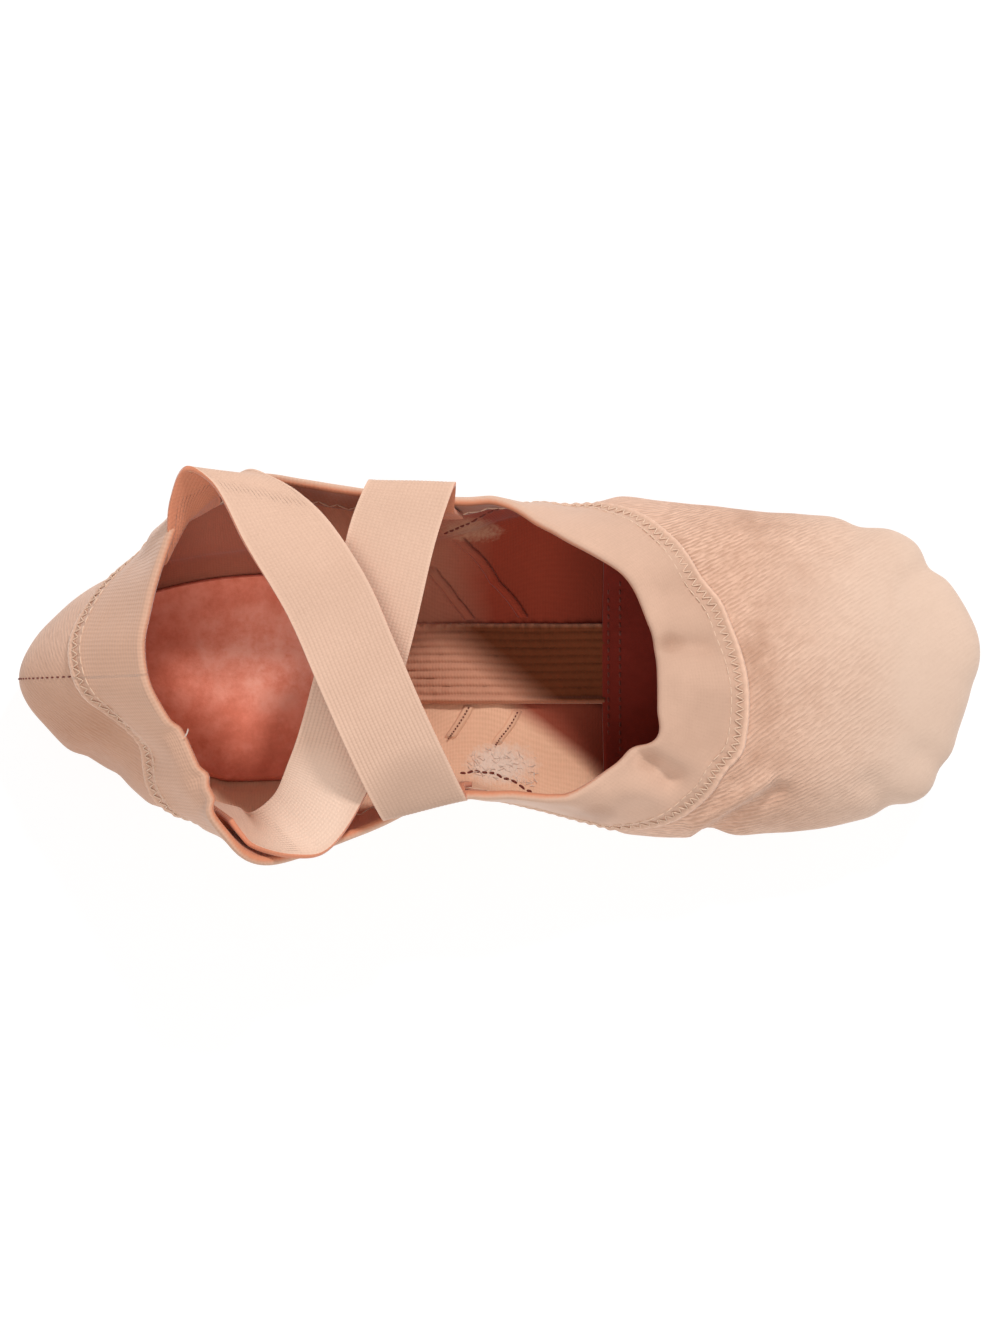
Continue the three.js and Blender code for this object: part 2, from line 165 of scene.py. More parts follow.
class SlipperSizes(bpy.types.PropertyGroup):
    """Sizes of the slipper and of what is sewn to it."""

    length: FloatProperty(
        name="Length", description="Heel to toe", default=CAD_HIGH.x - CAD_LOW.x, unit="LENGTH")
    ball_width: FloatProperty(
        name="Ball Width", description="Width at the ball of the foot", default=0.080, unit="LENGTH")
    heel_height: FloatProperty(
        name="Heel Height", description="Height of the rim at the heel", default=0.051, unit="LENGTH")
    widest_height: FloatProperty(
        name="Widest Height", description="Height of the outline over the sole", default=0.012,
        unit="LENGTH")
    arch_lift: FloatProperty(
        name="Arch Lift", description="How far the arch clears the floor", default=0.005, unit="LENGTH")
    toe_spring: FloatProperty(
        name="Toe Spring", description="How far the toe clears the floor", default=0.0025, unit="LENGTH")
    canvas: FloatProperty(
        name="Canvas", description="Thickness of canvas and lining", default=0.0009, unit="LENGTH")
    binding: FloatProperty(
        name="Binding", description="Thickness of the collar binding", default=0.0005, unit="LENGTH")
    binding_outside: FloatProperty(
        name="Binding Outside", description="Width of the binding outside", default=0.0215, unit="LENGTH")
    binding_inside: FloatProperty(
        name="Binding Inside", description="Width of the binding inside", default=0.010, unit="LENGTH")
    elastic: FloatProperty(
        name="Elastic", description="Thickness of the straps", default=0.0012, unit="LENGTH")
    elastic_width: FloatProperty(
        name="Elastic Width", description="Width of the straps", default=0.020, unit="LENGTH")
    outsole: FloatProperty(
        name="Outsole", description="Thickness of the suede patches", default=0.002, unit="LENGTH")
    insole: FloatProperty(
        name="Insole", description="Thickness of the socks", default=0.0015, unit="LENGTH")


class SlipperColours(bpy.types.PropertyGroup):
    """Colours of the slipper's cloth, elastic, thread and suede."""

    canvas: FloatVectorProperty(
        name="Canvas", description="Stretch canvas", subtype="COLOR", default=linear(221, 180, 156))
    toe: FloatVectorProperty(
        name="Toe", description="Canvas at the toe, rubbed pale", subtype="COLOR",
        default=linear(220, 191, 171))
    lining: FloatVectorProperty(
        name="Lining", description="Inner side of the canvas", subtype="COLOR",
        default=linear(244, 196, 164))
    # Painted shade of the lining: its darker, redder colour on the far wall and in the throat.
    shaded_lining: FloatVectorProperty(
        name="Deep Lining", description="Lining that has kept its colour", subtype="COLOR",
        default=linear(158, 64, 42))
    binding: FloatVectorProperty(
        name="Binding", description="Knit binding of the collar", subtype="COLOR",
        default=linear(220, 180, 156))
    inner_binding: FloatVectorProperty(
        name="Inner Binding", description="Binding inside the mouth", subtype="COLOR",
        default=linear(210, 136, 102))
    elastic: FloatVectorProperty(
        name="Elastic", description="Ribbed straps", subtype="COLOR", default=linear(224, 187, 164))
    # The straps' inner side and edges, painted darker and more orange to stand for the shade they lie in.
    elastic_back: FloatVectorProperty(
        name="Elastic Back", description="Inner side of the straps", subtype="COLOR",
        default=linear(214, 138, 106))
    thread: FloatVectorProperty(
        name="Thread", description="Sewing thread", subtype="COLOR", default=linear(228, 193, 167))
    sock: FloatVectorProperty(
        name="Sock", description="Suede of the heel and front socks", subtype="COLOR",
        default=linear(252, 152, 126))
    worn_sock: FloatVectorProperty(
        name="Worn Sock", description="Heel sock where it is rubbed", subtype="COLOR",
        default=linear(255, 187, 165))
    # Dark colour of the front sock, partly its own and partly painted shade under the vamp.
    front_sock: FloatVectorProperty(
        name="Front Sock", description="Sock in the forefoot", subtype="COLOR", default=linear(130, 43, 31))
    fray: FloatVectorProperty(
        name="Fray", description="Frayed edges of the lining", subtype="COLOR",
        default=linear(238, 216, 200))
    suede: FloatVectorProperty(
        name="Suede", description="Suede of the sole patches", subtype="COLOR",
        default=linear(206, 164, 138))
    arch: FloatVectorProperty(
        name="Arch", description="Ribbed band under the arch", subtype="COLOR",
        default=linear(204, 146, 118))


class SlipperStage(bpy.types.PropertyGroup):
    """Camera and light."""

    camera_height: FloatProperty(
        name="Camera Height", description="Height of the camera over the floor", default=1.1, unit="LENGTH")
    lens: FloatProperty(name="Lens", description="Focal length in millimetres", default=122.4, unit="CAMERA")
    key: FloatProperty(name="Key", description="Power of the main light", default=12.2, unit="POWER")
    fill: FloatProperty(
        name="Fill", description="Power of the overhead light", default=17.0, unit="POWER")
    floor_glow: FloatProperty(
        name="Floor Glow", description="Light of the pale floor itself", default=0.80, min=0.0,
        subtype="FACTOR")
    sky: FloatProperty(
        name="Sky", description="Strength of the even light all round", default=0.44, min=0.0,
        subtype="FACTOR")


# Form


def hermite(start, start_pull, end, end_pull, u):
    """A curve from start to end, at shares of the way, with its pull at each end."""
    rest = 1 - u
    return (
        start * (rest * rest * (1 + 2 * u))
        + start_pull * (u * rest * rest)
        + end * (u * u * (3 - 2 * u))
        - end_pull * (u * u * rest)
    )


def stack(*parts):
    """Coordinates put together as points."""
    return np.stack(np.broadcast_arrays(*parts), axis=-1)


def unit(vectors):
    """Vectors made one long."""
    return vectors / np.maximum(np.linalg.norm(vectors, axis=-1, keepdims=True), 1e-12)


def smooth(value, low, high):
    """0 below low and 1 above high, with a soft step between."""
    u = np.clip((value - low) / (high - low), 0, 1)
    return u * u * (3 - 2 * u)


def hump(value, middle, spread):
    """1 at the middle, and nearly 0 from two spreads away."""
    return np.exp(-(((value - middle) / spread) ** 2))


def run_along(points):
    """How far each point is from the first, along the line through them."""
    steps = np.linalg.norm(np.diff(points, axis=0), axis=-1)
    return np.concatenate([[0], np.cumsum(steps)])


def ripple(points, length, seed):
    """A soft unevenness, about -1 to 1, with hollows about a length apart."""
    draw = np.random.default_rng(seed)
    waves = 7
    total = 0.0
    for _ in range(waves):
        way = unit(draw.normal(size=3)) * TAU / (length * draw.uniform(0.8, 1.5))
        total = total + np.sin(points @ way + draw.uniform(0, TAU))
    return total / (waves / 2)


class Last:
    """The slipper's form in millimetres: ribs from the sole's edge, round the outline, up to the rim."""

    ARCH_FROM, ARCH_TO, TOE_SPRING_FROM = -33.0, 14.0, 84.0
    GAP, INSOLE_GAP, ELASTIC_GAP = 0.45, 0.6, 0.4
    # How finely the walls are measured: steps to a row, down the wall and up a rib, and the deepest measure.
    ROW_STEPS, DEPTH_STEPS, CLIMB_STEPS, LONGEST = 24, 86, 120, 34.0
    SAMPLES = 2000
    # The cloth's soft unevenness: height, distance between hollows and seed.
    UNEVEN = ((0.22, 26, 3), (0.08, 9, 5))
    # The toe's pleats: how many in a row, and their height.
    PLEATS, PLEAT_HEIGHT = 5.5, 0.8
    # Where the binding is wider or, with a minus, narrower: rows from the heel, spread and change.
    WIDER = (
        (1.0, 1.1, 5.0), (-1.0, 0.42, -6.5), (8.2, 0.85, -5.6),
        (9.7, 1.1, -3.2), (-9.0, 0.5, -3.6), (-7.6, 0.7, 3.0),
    )

    def __init__(self, sizes):
        for name in sizes.__annotations__:
            setattr(self, name, getattr(sizes, name) / MM)
        half = self.ball_width / 2
        sections = [dict(zip(SECTION_COLUMNS, row)) for row in SECTIONS]
        order = [(s, "left", 1) for s in sections] + [(s, "right", -1) for s in sections[-2:0:-1]]
        self.table = np.array([
            (
                (s["at"] - 0.5) * self.length,
                side * half * s[hand],
                (s["rim_at_" + hand] - 0.5) * self.length,
                side * half * s["rim_" + hand],
                self.heel_height * s["rim_height"],
                math.radians(s["lean"]),
                half * s["tuck_" + hand],
            )
            for s, hand, side in order
        ])
        self.measure_walls()

    def lift(self, x):
        """How far the sole clears the floor."""
        arch = np.clip((x - self.ARCH_FROM) / (self.ARCH_TO - self.ARCH_FROM), 0, 1)
        toe = np.maximum(0, x - self.TOE_SPRING_FROM) / (self.length / 2 - self.TOE_SPRING_FROM)
        return self.arch_lift * np.sin(math.pi * arch) ** 2 + self.toe_spring * toe * toe

    def seat(self, x):
        """Height of the canvas where it turns in under the foot."""
        return self.lift(x) + self.outsole + self.GAP

    def inner_floor(self, x):
        """Height that the socks and the arch band lie on."""
        return self.seat(x) + self.canvas + self.INSOLE_GAP

    def ribs(self, row):
        """Outline x and y, rim x, y and z, lean and tuck, at rows of the table."""
        place = np.floor(row).astype(int)
        f = (row - place)[..., None]
        a, b, c, d = (self.table[(place + k) % ROWS] for k in (-1, 0, 1, 2))
        mixed = b + 0.5 * f * (c - a + f * (2 * a - 5 * b + 4 * c - d + f * (3 * (b - c) + d - a)))
        return np.moveaxis(mixed, -1, 0)

    def sole_edge(self, row):
        """The edge that the canvas turns in to under the foot, and the way out from it."""
        x, y, _, _, _, _, tuck = self.ribs(np.asarray(row, float))
        inwards = unit(stack(np.clip(x, SPINE_FROM, SPINE_TO) - x, -y, 0 * x))
        edge = stack(x, y, 0 * x) + inwards * tuck[..., None]
        edge[..., 2] = self.seat(edge[..., 0])
        return edge, -inwards, tuck

    def smooth_skin(self, row, climb):
        """Points on the unworn skin, at rows and at shares of the way up their ribs."""
        row, climb = np.broadcast_arrays(np.asarray(row, float), np.asarray(climb, float))
        x, y, rim_x, rim_y, rim_z, lean, tuck = self.ribs(row)
        edge, outwards, _ = self.sole_edge(row)
        widest = stack(x, y, self.seat(x) + self.widest_height)
        rim = stack(rim_x, rim_y, rim_z)
        reach = np.linalg.norm(rim - widest, axis=-1)
        level = unit((rim - widest) * (1, 1, 0))
        arrival = level * np.cos(lean)[..., None] + stack(0 * lean, 0 * lean, np.sin(lean))
        up = np.array((0.0, 0.0, 1.0))
        on_wall = climb >= ROLL_SHARE
        u = np.where(on_wall, (climb - ROLL_SHARE) / (1 - ROLL_SHARE), climb / ROLL_SHARE)[..., None]
        roll = hermite(edge, outwards * (tuck * EDGE_PULL)[..., None], widest,
                       up * self.widest_height * ROLL_PULL, u)
        wall = hermite(widest, up * (reach * WALL_RISE)[..., None], rim,
                       arrival * (reach * WALL_FALL)[..., None], u)
        return np.where(on_wall[..., None], wall, roll)

    def axes(self, row, climb):
        """Up along the rib, and out of the skin."""
        step, side = 2e-3, 0.02
        low, high = np.clip(climb - step, 0, 1), np.clip(climb + step, 0, 1)
        up = unit(self.smooth_skin(row, high) - self.smooth_skin(row, low))
        level = self.smooth_skin(row + side, climb) - self.smooth_skin(row - side, climb)
        return up, unit(np.cross(up, level))

    def worn(self, points, row, climb):
        """How far folds, dents, pleats and unevenness move the skin out."""
        total = sum(height * ripple(points, apart, seed) for height, apart, seed in self.UNEVEN)
        plan = points[..., :2]
        for values in FOLDS:
            fold = dict(zip(FOLD_COLUMNS, values))
            start = np.array((fold["x0"], fold["y0"]), float)
            along = np.array((fold["x1"], fold["y1"]), float) - start
            share = np.clip(((plan - start) @ along) / (along @ along), 0, 1)
            away = np.linalg.norm(plan - start - share[..., None] * along, axis=-1)
            total = total + fold["height"] * hump(away, 0, fold["width"])
        total = total * smooth(climb, 0.05, 0.3)
        from_toe = np.abs((row % ROWS) - (LEFT_ROWS - 1))
        pleats = np.abs(np.sin(row * math.pi * self.PLEATS)) ** 0.7 - 0.5
        fade = smooth(climb, 0.0, 0.06) * (1 - smooth(climb, 0.12, 0.26)) * (1 - smooth(from_toe, 1.6, 2.6))
        return total + self.PLEAT_HEIGHT * pleats * fade

    def skin(self, row, climb, out=0.0, above=0.0):
        """Points on the worn skin, moved out of it, and past the rim by above."""
        row, climb = np.broadcast_arrays(np.asarray(row, float), np.asarray(climb, float))
        points = self.smooth_skin(row, climb)
        up, normal = self.axes(row, climb)
        out = np.asarray(self.worn(points, row, climb) + out)[..., None]
        return points + normal * out + up * np.asarray(above)[..., None]

    def measure_walls(self):
        """Tables of the climb that lies a distance below the rim, and of the way round the mouth."""
        self.step_rows = np.linspace(0, ROWS, self.ROW_STEPS * ROWS + 1)
        self.step_depths = np.linspace(0, self.LONGEST, self.DEPTH_STEPS)
        climbs = np.linspace(1, 0, self.CLIMB_STEPS)
        points = self.smooth_skin(self.step_rows[:, None], climbs[None, :])
        self.depth_climbs = np.array([np.interp(self.step_depths, run_along(rib), climbs) for rib in points])
        line = self.smooth_skin(self.step_rows, self.below_rim(self.step_rows, self.binding_outside * 0.8))
        self.round_runs = run_along(line)

    def way_round(self, row):
        """How far round the mouth a row is, measured along the binding."""
        return np.interp(row % ROWS, self.step_rows, self.round_runs)

    def binding_width(self, row):
        """The binding's width outside, wider behind the heel's left, narrower where it turns at the vamp."""
        total = self.binding_outside + 0 * row
        for place, spread, change in self.WIDER:
            away = (row - place + ROWS / 2) % ROWS - ROWS / 2
            total = total + change * hump(away, 0, spread)
        return total

    def below_rim(self, row, depth):
        """The climb at a distance below the rim, measured along the skin."""
        row, depth = np.broadcast_arrays(np.asarray(row, float) % ROWS, np.asarray(depth, float))
        r = row / (self.step_rows[1] - self.step_rows[0])
        d = np.clip(depth / (self.step_depths[1] - self.step_depths[0]), 0, len(self.step_depths) - 1.001)
        i, j = np.minimum(r.astype(int), len(self.step_rows) - 2), d.astype(int)
        fr, fd = r - i, d - j
        t = self.depth_climbs
        upper = t[i, j] * (1 - fr) + t[i + 1, j] * fr
        lower = t[i, j + 1] * (1 - fr) + t[i + 1, j + 1] * fr
        return upper * (1 - fd) + lower * fd

    def on_binding(self, row, depth, out):
        """A point a depth below the rim on the outside, or on the inside where the depth is negative."""
        row, depth = np.broadcast_arrays(np.asarray(row, float), np.asarray(depth, float))
        climb = self.below_rim(row, np.abs(depth))
        side = np.where(depth >= 0, out, -self.canvas - out)
        return self.skin(row, climb, side)

    def even_rows(self, depth, spacing):
        """Rows that stand about a spacing apart, along a line a depth below the rim."""
        rows = np.linspace(0, ROWS, 1600)
        run = run_along(self.smooth_skin(rows, self.below_rim(rows, depth)))
        count = max(2, 2 * round(run[-1] / spacing / 2))
        return np.interp(np.linspace(0, run[-1], count + 1), run, rows)

    def row_at(self, x, side):
        """The row of the outline at a distance along the foot, on the left or the right side."""
        rows = np.linspace(0 if side > 0 else ROWS, LEFT_ROWS - 1, self.SAMPLES)
        return float(np.interp(x, self.ribs(rows)[0], rows))


def form_and_colours(context):
    """The last in the scene's sizes, and the scene's colours."""
    return Last(context.scene.slipper_sizes), context.scene.slipper_colours


# Modelling

STITCH_SIDES, STITCH_TAPER = 6, 0.6


def lone(piece):
    """Selects one piece alone."""
    bpy.ops.object.select_all(action="DESELECT")
    piece.select_set(True)
    bpy.context.view_layer.objects.active = piece


def edit(*steps):
    """Runs edit mode operators on the whole of the active mesh."""
    bpy.ops.object.mode_set(mode="EDIT")
    bpy.ops.mesh.select_all(action="SELECT")
    for step in steps:
        step()
    bpy.ops.object.mode_set(mode="OBJECT")


def modifier(piece, kind, **settings):
    """Adds a modifier to a piece and applies it."""
    lone(piece)
    bpy.ops.object.modifier_add(type=kind)
    added = piece.modifiers[-1]
    for name, value in settings.items():
        setattr(added, name, value)
    bpy.ops.object.modifier_apply(modifier=added.name)


def points_of(mesh):
    """A mesh's points, in metres."""
    flat = np.empty(len(mesh.vertices) * 3, np.float32)
    mesh.vertices.foreach_get("co", flat)
    return flat.reshape(-1, 3)


def put_points(mesh, points):
    """Moves a mesh's points to places in millimetres."""
    mesh.vertices.foreach_set("co", (points * MM).astype(np.float32).ravel())
    mesh.update()


def put_cloth(mesh, cloth):
    """Lays the cloth's own coordinates, in millimetres, on the mesh's map."""
    layer = mesh.uv_layers.active or mesh.uv_layers.new(name=CLOTH_MAP)
    layer.name = CLOTH_MAP
    index = np.empty(len(mesh.loops), np.int32)
    mesh.loops.foreach_get("vertex_index", index)
    layer.data.foreach_set("uv", (cloth[index] * MM).astype(np.float32).ravel())


def grid_sheet(name, across, along, place, closed=False):
    """A grid whose points and cloth coordinates come from a function of their two shares.

    Where it is closed, the points that meet are merged."""
    bpy.ops.object.select_all(action="DESELECT")
    bpy.ops.mesh.primitive_grid_add(x_subdivisions=across, y_subdivisions=along, size=1)
    piece = bpy.context.object
    piece.name = piece.data.name = name
    share = points_of(piece.data)[:, :2] + 0.5
    points, cloth = place(share[:, 0].astype(float), share[:, 1].astype(float))
    put_points(piece.data, points)
    put_cloth(piece.data, cloth)
    if closed:
        edit(lambda: bpy.ops.mesh.remove_doubles(threshold=MERGE))
    return piece


def face_out(piece, towards):
    """Turns a sheet's front to the side where towards, a function of its points, is positive."""
    mesh = piece.data
    normals = np.empty(len(mesh.polygons) * 3, np.float32)
    centres = np.empty_like(normals)
    mesh.polygons.foreach_get("normal", normals)
    mesh.polygons.foreach_get("center", centres)
    facing = (normals.reshape(-1, 3) * towards(centres.reshape(-1, 3) / MM)).sum()
    if facing < 0:
        lone(piece)
        edit(bpy.ops.mesh.flip_normals)


def dress(piece, *paints):
    """Gives a piece its materials."""
    for paint in paints:
        piece.data.materials.append(paint)


def finish(piece, slot, *paints, node=None):
    """Dresses a piece, smooths it, hangs it on the root body and hides the node that it stands for. The slot
    is not used.
    """
    lone(piece)
    dress(piece, *paints)
    bpy.ops.object.shade_smooth()
    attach(piece, "root")
    if node:
        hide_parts(node)
    return piece


def from_outside(points):
    """Out from the foot's middle line."""
    middle = points.copy()
    middle[:, 0] = np.clip(middle[:, 0], SPINE_FROM, SPINE_TO)
    middle[:, 1] = 0
    middle[:, 2] = SPINE_HEIGHT
    return points - middle


def upwards(points):
    """Straight up, at every point."""
    return np.broadcast_to((0.0, 0.0, 1.0), points.shape)


def stitch_rows(name, runs, slot, paint, radius, sink=0.45):
    """One piece of thread stitches. A run gives the stitches' starts, ends and outward directions.

    Sink is how far their ends dip into the cloth, as a share of the thread's radius."""
    bpy.ops.object.select_all(action="DESELECT")
    bpy.ops.mesh.primitive_uv_sphere_add(segments=STITCH_SIDES, ring_count=STITCH_SIDES, radius=0.5)
    edit(lambda: bpy.ops.transform.rotate(value=math.pi / 2, orient_axis="Y", center_override=(0, 0, 0)))
    pattern = bpy.context.object
    shape = points_of(pattern.data).astype(float)
    shape[:, 0] = np.sign(shape[:, 0]) * 0.5 * (np.abs(shape[:, 0]) * 2) ** STITCH_TAPER
    faces = sorted(tuple(f.vertices) for f in pattern.data.polygons)
    bpy.data.objects.remove(pattern)
    points, polygons = [], []
    for starts, ends, outs in runs:
        for start, end, out in zip(starts, ends, outs):
            along = end - start
            length = np.linalg.norm(along)
            if length < 1e-6:
                continue
            ahead = along / length
            side = unit(np.cross(out, ahead))
            lift = np.cross(ahead, side)
            local = (
                (start + end) / 2
                + shape[:, :1] * along
                + shape[:, 1:2] * 2 * radius * side
                + (shape[:, 2:] * 2 * radius - sink * radius * (2 * shape[:, :1]) ** 2) * lift
            )
            base = len(points) * len(shape)
            points.append(local)
            polygons += [tuple(base + k for k in face) for face in faces]
    mesh = bpy.data.meshes.new(name)
    mesh.from_pydata((np.concatenate(points) * MM).tolist(), [], polygons)
    piece = bpy.data.objects.new(name, mesh)
    bpy.context.scene.collection.objects.link(piece)
    lone(piece)
    edit(bpy.ops.mesh.normals_make_consistent)
    return finish(piece, slot, paint)


def dashes(points, outs, share=0.62):
    """Running stitches along a line: every gap between its points holds one."""
    starts, ends = points[:-1], points[1:]
    inset = (1 - share) / 2 * (ends - starts)
    return starts + inset, ends - inset, (outs[:-1] + outs[1:]) / 2


def zigzag(first, second, outs):
    """Stitches to and fro between two lines of points."""
    even = (np.arange(len(first)) % 2 == 0)[:, None]
    line = np.where(even, first, second)
    return line[:-1], line[1:], (outs[:-1] + outs[1:]) / 2


# Materials

# In the paints below, what rise, fall, noise and wave take is in metres, and other numbers are shares.

# Weaves, in metres. The twill's turn is the cosine and sine of its angle on the cloth.
TWILL_PITCH, TWILL_TURN = 0.00108, (0.788, 0.616)
SLUB_LENGTH, SLUB_WIDTH = 0.0026, 0.0007
LINING_PITCH = 0.0007
WALE_PITCH, COURSE_PITCH = 0.001, 0.0008
PUCKER_PITCH, PUCKER_WIDTH, BEAD_WIDTH = 0.0009, 0.0042, 0.0013
PICK_PITCH, SELVEDGE = 0.00075, 0.0011

# Worn spots and spots of painted light and shade, in metres over the slipper: x and y of the middle, half
# the length and half the width.
FRAYED_SPOT = (0.001, -0.0235, 0.009, 0.0055)
RUBBED_SPOT = (-0.006, 0.0325, 0.008, 0.003)
# Dark marks at the binding's creases: partly wear and partly painted shade in the creases.
CREASES = (
    (0.0355, -0.0224, 0.004, 0.0035),
    (0.0232, -0.0347, 0.006, 0.003),
    (0.04, 0.0056, 0.0045, 0.003),
)
# A painted pool of light on the under strap's lower end, paler and with fainter ribs.
LIT_SPOT = (-0.044, -0.033, 0.012, 0.014)
# Painted shade on the over strap's lower end, which turns away from the light.
SHADED_END_SPOT = (-0.017, -0.031, 0.014, 0.012)
# The heel sock's pale centre: partly trodden wear and partly a painted highlight.
TRODDEN_AND_LIT_SPOT = (-0.057, 0.002, 0.02, 0.014)

# Directions over the slipper, across the edge of the painted shade under the vamp's fold, and of the painted
# shadows that the mouth's rim casts on the lining and on the arch band.
FOLD_WAY = (0.567, -0.826)
LINING_WAY = (0.606, 0.796)
BAND_WAY = (0.626, 0.78)


class Val:
    """A socket's value that Python arithmetic turns into Math nodes."""

    def __init__(self, paint, socket):
        self.paint = paint
        self.socket = socket

    def math(self, operation, *others, clamp=False):
        """A Math node that takes this value first."""
        values = {0: self, **{i + 1: other for i, other in enumerate(others)}}
        return self.paint.node("ShaderNodeMath", {"operation": operation, "use_clamp": clamp}, values)

    def flipped(self, operation, other):
        """A Math node that takes this value second."""
        return self.paint.node("ShaderNodeMath", {"operation": operation}, {0: other, 1: self})

    def __add__(self, other):
        return self.math("ADD", other)

    def __mul__(self, other):
        return self.math("MULTIPLY", other)

    def __sub__(self, other):
        return self.math("SUBTRACT", other)

    def __rsub__(self, other):
        return self.flipped("SUBTRACT", other)

    def __truediv__(self, other):
        return self.math("DIVIDE", other)

    def __rtruediv__(self, other):
        return self.flipped("DIVIDE", other)

    def __pow__(self, other):
        return self.math("POWER", other)

    def __rpow__(self, other):
        return self.flipped("POWER", other)

    __radd__ = __add__
    __rmul__ = __mul__

    def beside(self, output):
        """Another output of the same node."""
        return Val(self.paint, self.socket.node.outputs[output])

    def clamped(self):
        return self.math("ADD", 0.0, clamp=True)

    def rise(self, start, over):
        """0 up to the start, and 1 once the value is past it by over."""
        return ((self - start) / over).clamped()

    def fall(self, end, over):
        """0 from the end on, and 1 while the value is short of it by over."""
        return ((end - self) / over).clamped()

    def wave(self, length):
        """0 to 1 and back along this value, once in each length."""
        return (self * (TAU / length)).math("SINE") * 0.5 + 0.5


class Paint:
    """A cloth, suede or thread material and its nodes."""

    SHEEN_ROUGHNESS = 0.45

    def __init__(self, name, roughness=0.9, sheen=0.2, specular=0.25):
        self.material = bpy.data.materials.new(name)
        self.material.use_nodes = True
        self.tree = self.material.node_tree
        self.shader = self.tree.nodes["Principled BSDF"]
        self.shader.inputs["Roughness"].default_value = roughness
        self.shader.inputs["Sheen Weight"].default_value = sheen
        self.shader.inputs["Sheen Roughness"].default_value = self.SHEEN_ROUGHNESS
        self.shader.inputs["Specular IOR Level"].default_value = specular

    def node(self, kind, settings=None, values=None, out=0):
        """A node with its settings, and the values or links of its sockets."""
        made = self.tree.nodes.new(kind)
        for name, value in (settings or {}).items():
            setattr(made, name, value)
        for name, value in (values or {}).items():
            if isinstance(value, Val):
                self.tree.links.new(value.socket, made.inputs[name])
            else:
                made.inputs[name].default_value = value
        return Val(self, made.outputs[out])

    def place(self):
        return self.node("ShaderNodeTexCoord", out="Object")

    def split(self, vector):
        """The first two parts of a vector."""
        first = self.node("ShaderNodeSeparateXYZ", values={0: vector})
        return first, first.beside(1)

    def plan(self):
        """How far along and across the slipper a place lies, in metres."""
        return self.split(self.place())

    def cloth(self):
        """The two coordinates of the cloth's own map, in metres."""
        return self.split(self.node("ShaderNodeUVMap", {"uv_map": CLOTH_MAP}))

    def noise(self, size, detail=2.0, roughness=0.6):
        """Soft noise whose patches are about a size across, in metres."""
        values = {"Vector": self.place(), "Scale": 0.6 / size, "Detail": detail, "Roughness": roughness}
        return self.node("ShaderNodeTexNoise", values=values)

    def streak(self, along, across, length, width):
        """Noise drawn out along one direction of the cloth."""
        place = self.node("ShaderNodeCombineXYZ", values={0: along * (1 / length), 1: across * (1 / width)})
        return self.node("ShaderNodeTexNoise", values={"Vector": place, "Scale": 1.0, "Detail": 2.0})

    def mix(self, factor, first, second):
        """A colour between two others."""
        values = {0: factor, 6: first, 7: second}
        return self.node("ShaderNodeMix", {"data_type": "RGBA", "clamp_factor": True}, values, out=2)

    def done(self, colour, height=None, strength=0.5, depth=0.0004):
        """The material, once it has its colour and the bumps of its weave."""
        self.tree.links.new(colour.socket, self.shader.inputs["Base Color"])
        if height is not None:
            values = {"Strength": strength, "Distance": depth, "Height": height}
            bump = self.node("ShaderNodeBump", values=values)
            self.tree.links.new(bump.socket, self.shader.inputs["Normal"])
        return self.material


def shade(colour, factor, redder=0.0):
    """A colour made darker or lighter, and warmer as it darkens."""
    red, green, blue = colour
    return (red * factor, green * factor * (1 - redder), blue * factor * (1 - 1.6 * redder), 1.0)


def from_spot(plan, spot):
    """The squared distance from the middle of a spot, which is 1 at its edge."""
    x, y = plan
    middle_x, middle_y, half_length, half_width = spot
    return ((x - middle_x) / half_length) ** 2 + ((y - middle_y) / half_width) ** 2


def slant(plan, way):
    """The distance of a place along a direction over the slipper."""
    return plan[0] * way[0] + plan[1] * way[1]


